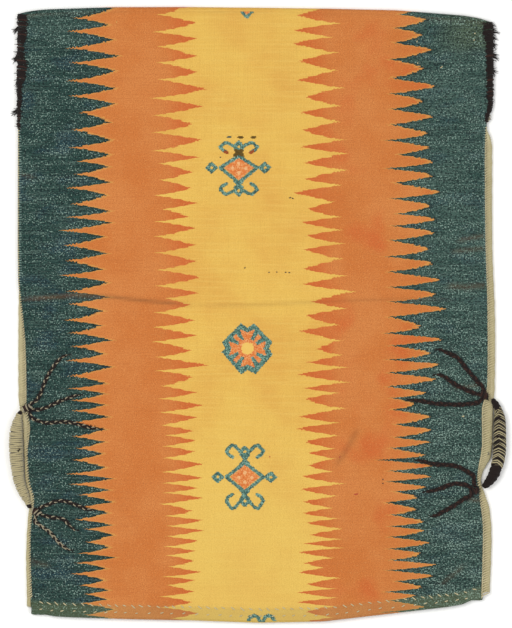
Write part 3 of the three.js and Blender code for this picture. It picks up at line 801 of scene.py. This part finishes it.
def hooked_diamond(top, crown, foot, extras):
    """
    Strokes of a diamond with a ring at each side and a ring between two hooks above and below.
    Crown and foot give the heights of their ring, hook's bend, hook's side and hook's tip.
    """
    teal = [([(-25, 0), (0, top), (25, 0), (0, -20), (-25, 0)], 2.3)]
    for centre in (-36.5, 35):
        teal.append(([(centre - 6, 0), (centre, 5.4), (centre + 6, 0), (centre, -5.4),
                      (centre - 6, 0)], 2.3))
    for up, (ring, bend, side_y, tip) in ((1, crown), (-1, foot)):
        teal.append(([(-5.6, ring * up), (0, (ring + 5.6) * up), (5.6, ring * up),
                      (0, (ring - 6) * up), (-5.6, ring * up)], 2.3))
        for side in (-1, 1):
            teal.append(([(6 * side, ring * up), (13 * side, (bend - 1.5) * up),
                          (18 * side, bend * up), (25 * side, side_y * up),
                          (22 * side, (tip + 3) * up), (16.5 * side, tip * up)], 2.2))
            reach = top if up > 0 else 20
            teal.append(([(-4.5 * side, (ring - 4) * up), (5 * side, (reach - 2) * up)], 2.2))
    orange = [([(-20, 0), (0, top - 2.5), (20, 0), (0, -16.5)], None)]
    pale = [([(x, y), (x + 0.1, y)], 2.3) for x, y in ((-8.5, -0.5), (9, -1), (0, 6), (0, -7))]
    return [("teal", teal), ("orange", orange), ("pale", pale), *extras]


def rosette():
    """A flower with notched sides: a teal rim hooked inwards, orange petals and a pale centre."""
    rim = [(-8.5, 34), (0, 27.5), (8.5, 34), (33.5, 8.5), (29, 0), (34, -8),
           (11, -34.5), (0, -29), (-8.5, -35), (-35, -4.5), (-30, 0), (-34, 8.5)]
    petals = []
    for angle in range(0, 360, 90):
        c, s = math.cos(math.radians(angle)), math.sin(math.radians(angle))
        for corners in ([(4, -6), (13, -4.5), (19, -7.5), (25.5, -10), (23, -3), (21.5, 0), (23, 3),
                         (25.5, 10), (19, 7.5), (13, 4.5), (4, 6)],
                        [(7, 7), (12, 9), (19.5, 15), (15, 19.5), (9, 12)]):
            petals.append(([(x * c - y * s, x * s + y * c) for x, y in corners], None))
    heart = [([(-15, 0), (-10, 10), (0, 14), (10, 10), (15, 0), (10, -10), (0, -14), (-10, -10)],
              None)]
    centre = [([(-9, 0), (-6, 6.5), (0, 8), (6, 6.5), (9, 0), (6, -6.5), (0, -8), (-6, -6.5)],
               None)]
    return [("teal", [(rim, None)]), ("orange", petals + heart), ("ground", centre)]


def half_diamond():
    """The lower half of a small diamond that the base fold cuts."""
    return [("orange", [([(-9, 8), (0, -1), (9, 8)], None)]),
            ("teal", [([(-13, 9), (0, -5), (13, 9)], 1.9)])]


def arches():
    """Two small arches that the mouth's edge cuts."""
    strokes = []
    for x in (-10, 10):
        strokes.append(([(x - 8, -7), (x - 5, -1), (x, 1), (x + 5, -1), (x + 8, -7)], 2.3))
    return [("teal", strokes)]


def inside(x, y, corners):
    """Which of these points lie inside a closed shape."""
    within = np.zeros(x.shape, dtype=bool)
    for (ax, ay), (bx, by) in zip(corners, corners[1:] + corners[:1]):
        if ay != by:
            crosses = (ay > y) != (by > y)
            within ^= crosses & (x < (bx - ax) * (y - ay) / (by - ay) + ax)
    return within


def motif_materials():
    """The brocading yarns. Teal and orange each come in three tones, mixed cell by cell."""
    made = {}
    for name, dark, light in (
        ("teal", "35554D", "628A7C"), ("teal_pale", "5D8477", "8DB0A0"),
        ("teal_dark", "1F3234", "41605A"), ("orange", "C4682F", "D98345"),
        ("orange_pale", "D08A50", "E3A36C"), ("orange_red", "B5552A", "CC6C38"),
        ("pale", "D2955A", "E6B784"), ("ground", "D9AF57", "E3BD66"), ("brown", "3E3114", "6B5322"),
        ("rust", "7A3A1C", "A2532B"),
    ):
        made[name] = yarn_material(f"brocade_{name}", dark, light, 1.3, 0.0, 0.95)
    return made


MIXED = {"teal": (["teal", "teal_pale", "teal_dark"], [0.5, 0.22, 0.28]),
         "orange": (["orange", "orange_pale", "orange_red"], [0.62, 0.28, 0.10])}
brocade = motif_materials()
TONES = list(brocade)


def make_motif(name, middle, reach, layers):
    """Weaves a motif into the face as small cells, in whole steps of the yarns."""
    across = np.arange(-reach[0], reach[0], CELL * 1.12)
    upward = np.arange(-reach[1], reach[1], CELL)
    x, y = np.meshgrid(across, upward)
    pick = np.random.default_rng(len(name))
    ragged = pick.uniform(-0.45, 0.45, (len(upward), 1))
    centre_x, centre_y = x + CELL * 0.56 + ragged, y + CELL / 2
    tone = np.full(x.shape, -1)
    for key, strokes in layers:
        for path, half_width in strokes:
            if half_width is None:
                hit = inside(centre_x, centre_y, path)
            else:
                hit = np.abs(distance_to_path(centre_x, centre_y, path)[0]) < half_width
            names, shares = MIXED.get(key, ([key], [1.0]))
            tone[hit] = [TONES.index(n) for n in pick.choice(names, int(hit.sum()), p=shares)]
    on_cloth_y = middle[1] + y
    seen = (on_cloth_y > mouth_at(middle[0] + x) + 1.0) & (
        on_cloth_y + CELL < base_at(middle[0] + x) - 4.5)
    rows, columns = np.nonzero((tone >= 0) & seen)
    corner_x = middle[0] + np.append(across, across[-1] + CELL * 1.12)
    corner_y = middle[1] + np.append(upward, upward[-1] + CELL)
    grid_x, grid_y = np.meshgrid(corner_x, corner_y)
    grid_z = face_height(grid_x, grid_y) + 0.22
    width = len(corner_x)
    faces, tones = [], []
    for row, column in zip(rows.tolist(), columns.tolist()):
        a = row * width + column
        faces.append((a, a + 1, a + width + 1, a + width))
        tones.append(int(tone[row, column]))
    used = sorted({v for face in faces for v in face})
    new_index = {v: i for i, v in enumerate(used)}
    points = np.stack([grid_x.ravel(), grid_y.ravel(), grid_z.ravel()], axis=1)[used]
    faces = [tuple(new_index[v] for v in face) for face in faces]
    piece = make_mesh(name, points, faces, [brocade[t] for t in TONES], "bag")
    piece.data.polygons.foreach_set("material_index", tones)


ABOVE_UPPER = [
    ("brown", [([(-3.5, 23), (5, 17)], 2.6), ([(3.5, 23), (-5, 17)], 2.6), ([(0, 41), (5, 41)], 1.4),
               ([(17.5, 41), (22, 41)], 1.4)]),
    ("teal_dark", [([(-15, 41), (-11, 41.5)], 1.1)]),
    ("rust", [([(-18.5, 21.5), (-15.5, 20)], 2.0), ([(15.5, 20), (19, 22)], 2.0)]),
]
make_motif("motif_upper", (-25.3, 199.0), (46, 46),
           hooked_diamond(15.5, (28.5, 34, 28, 21), (31, 36, 29.5, 21.7), ABOVE_UPPER))
make_motif("motif_rosette", (-13.5, -44.6), (38, 38), rosette())
make_motif("motif_lower", (-17.1, -217.9), (46, 48),
           hooked_diamond(19, (34, 43, 35, 27), (32.5, 42.5, 32.5, 23.5), []))
make_motif("motif_base", (-14.2, 406.5), (18, 12), half_diamond())
make_motif("motif_mouth", (5.2, -405.5), (22, 10), arches())


# ------------------------------------------------------------------ sewing

thread = yarn_material("stitch_thread", "9A8D66", "D9CDA4", 0.7)
pale_thread = yarn_material("edge_thread", "4E6E6A", "8FA8A0", 0.7)
grey_wool = yarn_material("grey_wool", "6E6A58", "948E78", 0.7)
hole_shade = yarn_material("hole_shade", "2C2A26", "4A463E", 0.7)
draws = np.random.default_rng(11)


def make_hem_stitches():
    for node, (depth, spacing, length), slope in zip(("hem_thread_upper", "hem_thread_lower"),
                                                    STITCH_ROWS, (-4.0, 1.6)):
        low, high = (corner.x * 1000 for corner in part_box(node))
        stitches = Strands()
        x = low + 2
        while x < high - length:
            slant = slope * draws.uniform(0.5, 1.25)
            here = np.linspace(0, length * draws.uniform(0.8, 1.15), 6)
            px = x + here
            py = mouth_at(px) + depth + draws.normal(0, 0.35) + slant * (here / length - 0.5)
            pz = face_height(px, py) + np.array([-0.6, 0.35, 0.65, 0.65, 0.35, -0.6])
            stitches.add(np.stack([px, py, pz], axis=1), [0.45, 0.7, 0.78, 0.78, 0.7, 0.45])
            x += spacing * draws.uniform(0.85, 1.15)
        stitches.make(node.replace("thread", "stitches"), [thread], "bag",
                      [node])


def make_side_stitches(side, inwards, edge, rolled):
    """Slanting stitches that lace the face's edge to the back, and ticks along the woven edge."""
    node = f"side_seam_{side}"
    stitches = Strands()
    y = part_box(node)[0].y * 1000 + 1
    while y < base_at(edge(380)) - 12:
        outer = coming_out(rolled(y), edge(y) - inwards * 0.5, y)
        margin = float(edge(y) - outer) * inwards
        showing = float(smoothstep(margin, 1.5, 4.5))
        shown = max(margin, 0.0) * showing
        reach = draws.uniform(0.4, 1.3)
        offsets = np.array([-shown + 0.5, -0.5 * shown - 0.2, -0.7, 0.5, reach])
        lean = inwards * (0.55 * shown + draws.uniform(0.6, 1.4))
        px = edge(y) + inwards * offsets
        py = y + lean * np.linspace(-0.7, 0.4, 5)
        on_face = face_height(edge(y) + inwards * np.maximum(offsets, 0.4), py)
        over_back = LIP_TOP * showing + (1 - showing) * (SIDE_TOP - 2.2)
        low_part = np.array([over_back + 0.1, over_back + 0.45, max(over_back, SIDE_TOP) + 0.5])
        pz = np.append(low_part, on_face[3:] + np.array([0.6, -0.35]))
        if y < BACK_END - 6:
            stitches.add(np.stack([px, py, pz], axis=1), [0.6, 0.85, 0.9, 0.85, 0.3], 6)
        if y > 40:
            tick = np.linspace(0.2, draws.uniform(2.5, 5.0), 5)
            px = edge(y) + inwards * tick
            pz = face_height(px, y) + np.array([-0.4, 0.25, 0.35, 0.25, -0.4])
            stitches.add(np.stack([px, np.full(5, y), pz], axis=1), [0.3, 0.5, 0.55, 0.5, 0.3], 5, 1)
        y += draws.uniform(2.9, 3.8)
    stitches.make(f"side_stitches_{side}", [thread, pale_thread], "bag", [node])


def make_worn_margin():
    """A small hole worn in the back's rolled edge beside the right handle, its shade painted as a dark
    strand in its middle, and a loop of yarn.
    """
    marks = Strands()
    middle = np.array([311.5, -186.5, LIP_TOP + 0.4])
    turn = np.linspace(0, math.tau, 12, endpoint=False)
    ring = middle + np.stack([1.3 * np.cos(turn), 1.9 * np.sin(turn), 0 * turn], axis=1)
    marks.add(ring, 0.5, 5, 1, ring=True)
    # Painted shade: a dark strand fills the middle of the hole.
    marks.add(middle + np.array([[0, -1.0, -0.3], [0, 0, -0.25], [0, 1.0, -0.3]]), 0.9, 6, 2)
    t = np.linspace(0, math.pi, 9)
    loop = np.stack([314.0 + 2.6 * np.cos(t), -172.0 + 4.2 * np.sin(t),
                     LIP_TOP + 0.6 + 1.2 * np.sin(t)], axis=1)
    marks.add(loop, 0.6, 6, 0)
    marks.make("worn_margin", [thread, grey_wool, hole_shade], "bag")


def make_lap_stitches():
    low, high = (np.array(corner) * 1000 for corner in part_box("lap_seam_thread"))
    stitches = Strands()
    for x in np.arange(low[0], high[0], 9.0):
        here = np.linspace(0, 5, 5)
        height = np.array([-0.5, 0, 0.3, 0, -0.5]) + (low[2] + high[2]) / 2
        row_y = (low[1] + high[1]) / 2 + draws.normal(0, 0.4)
        stitches.add(np.stack([x + here, row_y + 0.1 * here, height], axis=1), 0.5)
    stitches.make("lap_stitches", [thread], "bag", ["lap_seam_thread"])


# Each end of yarn caught in the face: its middle, its length, its heading, and its material,
# which is red yarn, a dark speck, sewing thread or gold yarn.
RED, SPECK, THREAD, GOLD = range(4)
STRAYS = [
    (133, -241, 6.5, 0.2, RED), (169, -221, 1.8, 0.4, SPECK), (169, -226.5, 1.8, -0.3, SPECK),
    (-17, 64, 2.2, 0.9, SPECK), (248, 334.5, 4.5, 0.6, THREAD), (293, 380, 2.2, 0.3, THREAD),
    (215, 369, 2.4, 1.2, THREAD), (277, -136, 3.5, 0.2, THREAD), (278, -136, 2.6, 1.4, THREAD),
    (216, 340, 2.0, 1.3, THREAD), (292, 371, 1.6, 0.5, THREAD), (-190, 395, 3.0, 1.3, GOLD),
    (44, 158.5, 3.2, 0.35, SPECK), (47.5, 157.6, 2.8, -0.5, SPECK), (15.6, 58, 1.6, 0.2, SPECK),
    (26, 58.3, 1.8, 0, SPECK), (38, 58, 2.2, 0.1, SPECK), (43, 57.6, 2.4, 0, SPECK),
    (-50, 213, 1.8, 0.3, SPECK), (16.5, -190.5, 1.4, 1.0, RED), (111, -191, 2.2, 1.5, RED),
]


def make_stray_threads():
    """Short ends of yarn and dark specks caught in the face."""
    strays = Strands()
    for x, y, length, turn, tone in STRAYS:
        t = np.linspace(-0.5, 0.5, 5) * length
        px, py = x + t * math.cos(turn), y + t * math.sin(turn)
        pz = face_height(px, py) + np.array([-0.4, 0.25, 0.4, 0.25, -0.4])
        strays.add(np.stack([px, py, pz], axis=1), [0.4, 0.7, 0.8, 0.7, 0.4], 6, tone)
    red = yarn_material("red_yarn", "9E2E1A", "C4482C", 0.7)
    speck = yarn_material("dark_speck", "2A1C12", "4A3420", 0.7)
    gold = yarn_material("gold_yarn", "C58A38", "DDA653", 0.7)
    strays.make("stray_threads", [red, speck, thread, gold], "bag")


make_stray_threads()
make_hem_stitches()
make_side_stitches("left", 1, face_left, back_left)
make_side_stitches("right", -1, face_right, back_right)
make_lap_stitches()
make_worn_margin()


# ------------------------------------------------------------------ bindings at the base corners

hair = yarn_material("goat_hair", "090605", "261A17", 0.7, 0.05)
red_hair = yarn_material("goat_hair_brown", "150B09", "442A21", 0.7, 0.05)
grey_hair = yarn_material("cream_hair", "5E5644", "B5AA8C", 0.7)


# Where the oversewing ends, how far it reaches over the face, and where ends of hair stick out.
BINDINGS = {
    "left": {"ends": (252, 405), "tufts": (388, 352, 348, 318, 276),
             "reach": [(252, 2.2), (282, 3.5), (310, 4.5), (322, 9.5), (338, 12), (352, 8), (365, 6.5),
                       (374, 10.5), (388, 12.5), (405, 10)]},
    "right": {"ends": (261, 395), "tufts": (384, 378, 368, 350, 331),
              "reach": [(261, 2.0), (272, 4), (290, 6), (340, 7.5), (366, 8), (380, 11), (395, 10)]},
}


def at_height(points, y):
    return np.interp(y, [p[0] for p in points], [p[1] for p in points])


def make_binding(side, inwards, edge):
    """Goat-hair yarn oversewn round the side edge, with stray ends."""
    node = f"binding_{side}"
    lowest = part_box(node)[0].y * 1000
    plan = BINDINGS[side]
    binding = Strands()
    y = plan["ends"][0]
    while y < plan["ends"][1]:
        edge_x = float(edge(y))
        outside = edge_x - inwards * draws.uniform(1.2, 2.6)
        reach = edge_x + inwards * (at_height(plan["reach"], y) + draws.uniform(-1.6, 0.8))
        top = float(face_height(edge_x + inwards * 1.0, y))
        over = float(face_height(reach, y))
        half_way = (edge_x + reach) / 2
        lean = draws.uniform(0.4, 2.4)
        loop = [
            (reach, -lean, over + 0.2), (half_way, 0, float(face_height(half_way, y)) + 1.5),
            (edge_x, 0.3, top + 1.5), (outside, 0.6, top - 0.8), (outside, 0.6, 1.4),
        ]
        if y > lowest:
            loop += [(edge_x, 0.4, 0.75), (edge_x + inwards * 6, -0.2, 0.62)]
        loop = np.array(loop)
        loop[:, 1] += y + draws.normal(0, 0.3)
        path, _ = resample(loop, 1.3)
        size = draws.uniform(0.9, 1.45)
        under = path[:, 2] < 2.2
        radius = np.where(under, np.minimum(size, path[:, 2] - 0.05), size)
        radius[[0, -1]] *= 0.5
        binding.add(path, radius, 6, int(draws.uniform() < 0.12))
        y += draws.uniform(1.6, 2.3)

    def stray(x, y, z, heading, length, thick, bend):
        t = np.linspace(0, 1, 7)
        turn = heading + bend * t
        px = x + length / 6 * np.cumsum(np.cos(turn))
        py = y + length / 6 * np.cumsum(np.sin(turn))
        pz = np.maximum(z - 2.5 * t * t, 0.8)
        binding.add(np.stack([px, py, pz], axis=1), np.linspace(thick, 0.14, 7), 4)

    outwards = math.pi if inwards > 0 else 0.0
    for start_y in plan["tufts"]:
        heading = outwards + inwards * draws.uniform(-0.1, 1.0)
        for _ in range(9):
            at = start_y + draws.normal(0, 1.6)
            stray(edge(at) - inwards * 0.5, at, draws.uniform(3.5, 7.5),
                  heading + draws.normal(0, 0.16), draws.uniform(5.0, 10.5),
                  draws.uniform(0.7, 1.1), draws.uniform(-0.9, 0.9))
    for _ in range(26):
        at = draws.uniform(*plan["ends"])
        stray(edge(at) - inwards * 1.2, at, draws.uniform(2.5, 7), outwards + draws.uniform(-1.1, 1.1),
              draws.uniform(2.5, 6.5), draws.uniform(0.3, 0.55), draws.uniform(-1, 1))
    for _ in range(24):
        start_y = draws.uniform(*plan["ends"])
        reach = edge(start_y) + inwards * (at_height(plan["reach"], start_y) - 1.0)
        t = np.linspace(0, 1, 6)
        px = reach + inwards * draws.uniform(1.5, 4.5) * t
        py = start_y + draws.uniform(-3, 3) * t
        pz = face_height(px, py) + 0.5 + 0.4 * np.sin(t * 3)
        binding.add(np.stack([px, py, pz], axis=1), np.linspace(0.7, 0.2, 6), 4)
    if side == "right":
        for bend in (0.5, 1.0, 1.5):
            t = np.linspace(0, 1, 8)
            angle = 1.2 - (2.0 + 0.3 * bend) * t
            px = edge(262) + 0.5 + 5.5 * np.sin(math.pi * t) * bend / 1.5 + 1.0 * t
            py = 259 + 13 * t + bend
            pz = 6.5 + 1.5 * np.cos(angle)
            binding.add(np.stack([px, py, pz], axis=1), np.linspace(0.45, 0.2, 8), 4, 2)
    binding.make(f"binding_{side}_yarn", [hair, red_hair, grey_hair], "bag", [node])


make_binding("left", 1, face_left)
make_binding("right", -1, face_right)


# ------------------------------------------------------------------ rope handles

cream_yarn = yarn_material("cream_yarn", "867A58", "C4B88E", 0.7)
# Painted shadow: a dark tone seen in the gaps between the turns of cream yarn.
yarn_shadow = yarn_material("winding_gap_shadow", "2A241B", "4A4130", 0.8)


def handle_line(side):
    """Middle line and radius of a handle's rope, from the end nearer the base."""
    places, low, high = sections(f"handle_{side}_rope", 1, 70, 2.8)
    middle = (low + high) / 2
    middle[:, 0] = smooth(middle[:, 0], 2)
    middle[:, 2] = smooth(middle[:, 2], 2)
    line = np.stack([middle[:, 0], places, middle[:, 2]], axis=1)[::-1]
    line, stations = resample(line, 1.0)
    thickness = smooth((high[:, 2] - low[:, 2]) / 2, 1)
    radius = np.interp(line[:, 1], places, thickness)
    return line, stations, radius


def twist_round(line, stations, offset_radius, pitch, start_angle):
    """Points winding round a line, and their outward directions."""
    tangent = unit(np.gradient(line, axis=0))
    up = np.array([0.0, 0.0, 1.0])
    sideways = unit(np.cross(tangent, up))
    upright = np.cross(sideways, tangent)
    angle = start_angle + math.tau * stations / pitch
    outward = np.cos(angle)[:, None] * upright + np.sin(angle)[:, None] * sideways
    return line + offset_radius[:, None] * outward, outward


def finer(line, stations, spacing):
    count = int(stations[-1] / spacing)
    places = np.linspace(0, stations[-1], count)
    dense = np.stack([np.interp(places, stations, line[:, k]) for k in range(3)], axis=1)
    return dense, places


def make_rope(side):
    """Three twisted strands of goat hair that run the whole length of the handle."""
    line, stations, radius = handle_line(side)
    rope = Strands()
    dense, places = finer(line, stations, 0.9)
    thick = np.interp(places, stations, radius)
    from_end = np.minimum(places, places[-1] - places)
    thick = thick * np.sqrt(np.clip(0.15 + from_end / 2.5, 0, 1))
    for k in range(3):
        path, outward = twist_round(dense, places, thick * 0.50, 19, k * math.tau / 3)
        rope.add(path, thick * 0.54, 9, 0, outward)
    rope.make(f"handle_{side}_strands", [hair, red_hair], f"handle_{side}",
              [f"handle_{side}_rope"])


LOOSE_END_Y = -181.5              # ends of hair caught in the left handle's winding


def make_wrap(side, tones, slant, beyond):
    """
    Close turns of yarn round the rope. With a slant each turn dips to a point on top. The turns
    go beyond the CAD wrap by these lengths towards the base and towards the mouth.
    """
    node = f"handle_{side}_wrap"
    places, low, high = sections(node, 1, 60, 0.6)
    line, stations, _ = handle_line(side)
    kept = (line[:, 1] > places[0] - beyond[1]) & (line[:, 1] < places[-1] + beyond[0])
    line, stations = line[kept], stations[kept] - stations[kept][0]
    outer = smooth((high[:, 2] - low[:, 2]) / 2, 2)
    wrap = Strands()
    core, _ = finer(line, stations, 3.0)
    # A dark core under the turns: painted shadow showing between them.
    wrap.add(core, np.interp(core[:, 1], places, outer) - 1.9, 14, 2)
    tangent = unit(np.gradient(line, axis=0))
    sideways = unit(np.cross(tangent, [0.0, 0.0, 1.0]))
    upright = np.cross(sideways, tangent)
    angle = np.linspace(-math.pi, math.pi, 30, endpoint=False)
    along, number = 1.3, 0
    while along < stations[-1] - 1.3:
        yarn = draws.uniform(1.15, 1.5) if slant == 0 else draws.uniform(0.62, 0.85)
        dip = slant * draws.uniform(0.8, 1.2) * (np.abs(angle - 0.2) - math.pi / 2)
        dip = dip + draws.normal(0, 0.3) * np.sin(angle) + draws.normal(0, 0.2) * np.sin(2 * angle)
        at = np.clip(along + dip, 0.4, stations[-1] - 0.4)
        frames = [np.stack([np.interp(at, stations, values[:, k]) for k in range(3)], axis=1)
                  for values in (line, upright, sideways)]
        outward = np.cos(angle)[:, None] * frames[1] + np.sin(angle)[:, None] * frames[2]
        radius = np.interp(frames[0][:, 1], places, outer) - yarn * 0.8
        loop = frames[0] + (radius + draws.normal(0, 0.14))[:, None] * outward
        wrap.add(loop, yarn, 7, tones[number % len(tones)], outward, 0.8, ring=True)
        along += yarn * 2.05
        number += 1
    if side == "left":
        for turn in (0.5, 0.9, 1.35):
            t = np.linspace(-1, 1, 6)
            middle = np.array([np.interp(LOOSE_END_Y, line[::-1, 1], line[::-1, k])
                               for k in range(3)])
            top = np.interp(LOOSE_END_Y, places, outer) + 0.6
            spot = middle + [4.2, 0.0, 0.0]
            strand = np.stack([spot[0] + 2.6 * t * math.cos(turn), LOOSE_END_Y + 2.2 * t * math.sin(turn),
                               middle[2] + top * 0.93 - 0.5 * t * t], axis=1)
            wrap.add(strand, np.linspace(0.6, 0.35, 6), 5, 1)
    wrap.make(f"handle_{side}_winding", [cream_yarn, hair, yarn_shadow], f"handle_{side}",
              [node])


for side in ("left", "right"):
    make_rope(side)
make_wrap("left", [0], 0, (5.5, 4.5))
make_wrap("right", [0, 1, 0, 1, 1], 4.2, (2.0, 0.5))


# ------------------------------------------------------------------ knots and plaits

def ring_points(centre, across, along, radii, steps=22):
    """A closed oval loop round a centre in the plane of two directions."""
    turn = np.linspace(0, math.tau, steps, endpoint=False)
    return (centre + radii[0] * np.cos(turn)[:, None] * across
            + radii[1] * np.sin(turn)[:, None] * along)


def make_knot(place, pale):
    """The rope's end tied down on the face with turns of its own cords."""
    node = f"knot_{place}"
    low, high = (np.array(corner) * 1000 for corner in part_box(node))
    centre = (low + high) / 2
    side, level = place.split("_")
    line, _, _ = handle_line(side)
    end = line[0] if level == "upper" else line[-1]
    toward = unit(centre - end)
    across = unit(np.cross(toward, [0.0, 0.0, 1.0]))
    upright = np.cross(across, toward)
    gap = float(np.linalg.norm(centre - end))
    knot = Strands()
    core = [end + toward * gap * share for share in (0.55, 0.75, 1.0, 1.3, 1.6)]
    knot.add(core, [1.8, 2.6, 3.2, 2.8, 1.5], 10)
    turns = [(0.7, 0), (0.88, 1), (1.05, pale), (1.25, 0), (1.5, pale)]
    if side == "left":
        turns = [(0.5, pale), *turns]
    for share, tone in turns:
        lean = draws.uniform(-0.45, 0.45)
        turned = across * math.cos(lean) + toward * math.sin(lean)
        size = 3.9 - 1.0 * abs(share - 0.95)
        loop = ring_points(end + toward * gap * share, turned, upright, (size, 0.85 * size))
        loop[:, 2] = np.maximum(loop[:, 2], face_height(loop[:, 0], loop[:, 1]) * (
            np.abs(loop[:, 0]) < abs(centre[0]) + 3) + 1.0)
        knot.add(loop, draws.uniform(1.1, 1.4), 7, tone, ring=True)
    for _ in range(16):
        angle = draws.uniform(0, math.tau)
        t = np.linspace(0, 1, 5)
        reach = draws.uniform(3, 8)
        px = centre[0] + math.cos(angle) * (2 + reach * t)
        py = centre[1] + math.sin(angle) * (2 + reach * t)
        pz = np.maximum(face_height(px, py), centre[2] - 3.5) + 0.6 + 1.8 * (1 - t)
        knot.add(np.stack([px, py, pz], axis=1), np.linspace(0.42, 0.15, 5), 4)
    knot.make(f"knot_{place}_turns", [hair, red_hair, grey_hair], "bag", [node])


def make_plait(place, number, tones, half_width):
    """A flat plait of three cords on the face, tapering to a loose tip."""
    node = f"plait_{place}_{number}"
    places, low, high = sections(node, 0, 26, 0.8)
    middle_y = smooth((low[:, 1] + high[:, 1]) / 2, 2)
    route = np.stack([places, middle_y], axis=1)
    if place.startswith("right"):
        route = route[::-1]
    low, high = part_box(f"knot_{place}")
    knot = np.array([low.x + high.x, low.y + high.y]) * 500
    start = knot + (route[0] - knot) * 0.3
    line, stations = resample(np.concatenate([[start], route]), 0.8)
    total = stations[-1]
    tangent = unit(np.gradient(line, axis=0))
    normal = np.stack([-tangent[:, 1], tangent[:, 0]], axis=1)
    taper = 0.55 + 0.45 * np.clip((total - stations) / 14, 0, 1)
    period = draws.uniform(11.5, 14.0)
    rough = 1 + 0.16 * np.sin(stations / 2.3 + number) * np.sin(stations / 5.9)
    wander = 0.5 * np.sin(stations / 6.1 + number)
    base = face_height(line[:, 0], line[:, 1])
    plait = Strands()
    for k in range(3):
        phase = math.tau * (stations / period + k / 3)
        sideways = half_width * 0.52 * np.sin(phase) * taper * rough + wander * 0.3
        lift = 0.8 * np.sin(2 * phase) * taper
        xy = line + normal * sideways[:, None]
        size = half_width * (0.36 if tones[k] == 2 else 0.50) * taper * rough
        z = base + size + 0.7 + lift
        plait.add(np.column_stack([xy, z]), size, 7, tones[k])
    for _ in range(int(total / 1.6)):
        i = draws.integers(4, len(line) - 4)
        t = np.linspace(0, 1, 4)
        aside = normal[i] * draws.choice([-1, 1]) * draws.uniform(1.5, 3.2)
        xy = line[i] + aside * (0.5 + 0.9 * t[:, None]) + tangent[i] * draws.uniform(-2, 3) * t[:, None]
        z = face_height(xy[:, 0], xy[:, 1]) + 1.6 * (1 - t) + 0.5
        plait.add(np.column_stack([xy, z]), np.linspace(0.3, 0.14, 4), 4, 0)
    tip, heading = line[-1], tangent[-1]
    for _ in range(7):
        t = np.linspace(0, 1, 5)
        turn = draws.uniform(-0.7, 0.7)
        side_step = np.array([-heading[1], heading[0]]) * turn
        xy = tip + (heading + side_step * t[:, None]) * (draws.uniform(2.5, 7) * t)[:, None]
        z = face_height(xy[:, 0], xy[:, 1]) + 1.0 - 0.5 * t
        plait.add(np.column_stack([xy, z]), np.linspace(0.5, 0.18, 5), 4, tones[0])
    plait.make(f"{node}_cords", [hair, red_hair, grey_hair], "bag", [node])


for place in ("left_upper", "left_lower", "right_upper", "right_lower"):
    left = place.startswith("left")
    make_knot(place, 2 if left else 1)
    for number in (1, 2, 3):
        pale_cords = [0, 0, 2] if left else [0, 0, 1]
        if (place, number) == ("left_lower", 3):
            pale_cords = [0, 2, 2]
        make_plait(place, number, pale_cords, 2.7 if left else 3.1)


# ------------------------------------------------------------------ camera, light and floor

CAMERA_HEIGHT = 6.0
VIEW_LENGTH = 0.848               # metres of floor along the picture's longer side


def look_down():
    camera = bpy.data.objects.new("camera", bpy.data.cameras.new("camera"))
    camera.location = (-0.002, 0.0018, CAMERA_HEIGHT)
    camera.data.lens = camera.data.sensor_width * CAMERA_HEIGHT / VIEW_LENGTH
    camera.data.clip_end = 50
    scene.collection.objects.link(camera)
    scene.camera = camera


def add_light(name, kind, energy, place, size=1.0, colour=(1, 1, 1)):
    light = bpy.data.lights.new(name, kind)
    light.energy = energy
    light.color = colour
    light.size = size
    lamp = bpy.data.objects.new(name, light)
    lamp.location = place
    lamp.rotation_euler = (-lamp.location).to_track_quat("-Z", "Y").to_euler()
    scene.collection.objects.link(lamp)


scene = bpy.context.scene
scene.view_settings.view_transform = "Standard"
look_down()
add_light("key", "AREA", 35.5, (-0.85, 0.25, 2.5), 1.1, (1.0, 0.99, 0.97))
add_light("fill", "AREA", 17, (1.2, -0.5, 2.3), 1.4, (0.98, 0.99, 1.0))
world = bpy.data.worlds.new("studio")
world.use_nodes = True
world.node_tree.nodes["Background"].inputs["Color"].default_value = (1, 1, 1, 1)
world.node_tree.nodes["Background"].inputs["Strength"].default_value = 0.56
scene.world = world

floor_mesh = bpy.data.meshes.new("floor")
floor_mesh.from_pydata([(-6, -6, 0), (6, -6, 0), (6, 6, 0), (-6, 6, 0)], [], [(0, 1, 2, 3)])
floor = bpy.data.objects.new("floor", floor_mesh)
paper = Nodes("white_paper")
paper_tone = paper.node("ShaderNodeRGB").outputs[0]
paper_tone.default_value = rgb("FDFDFC")
floor_mesh.materials.append(paper.finish(paper_tone, roughness=0.95, sheen=0.0))
scene.collection.objects.link(floor)
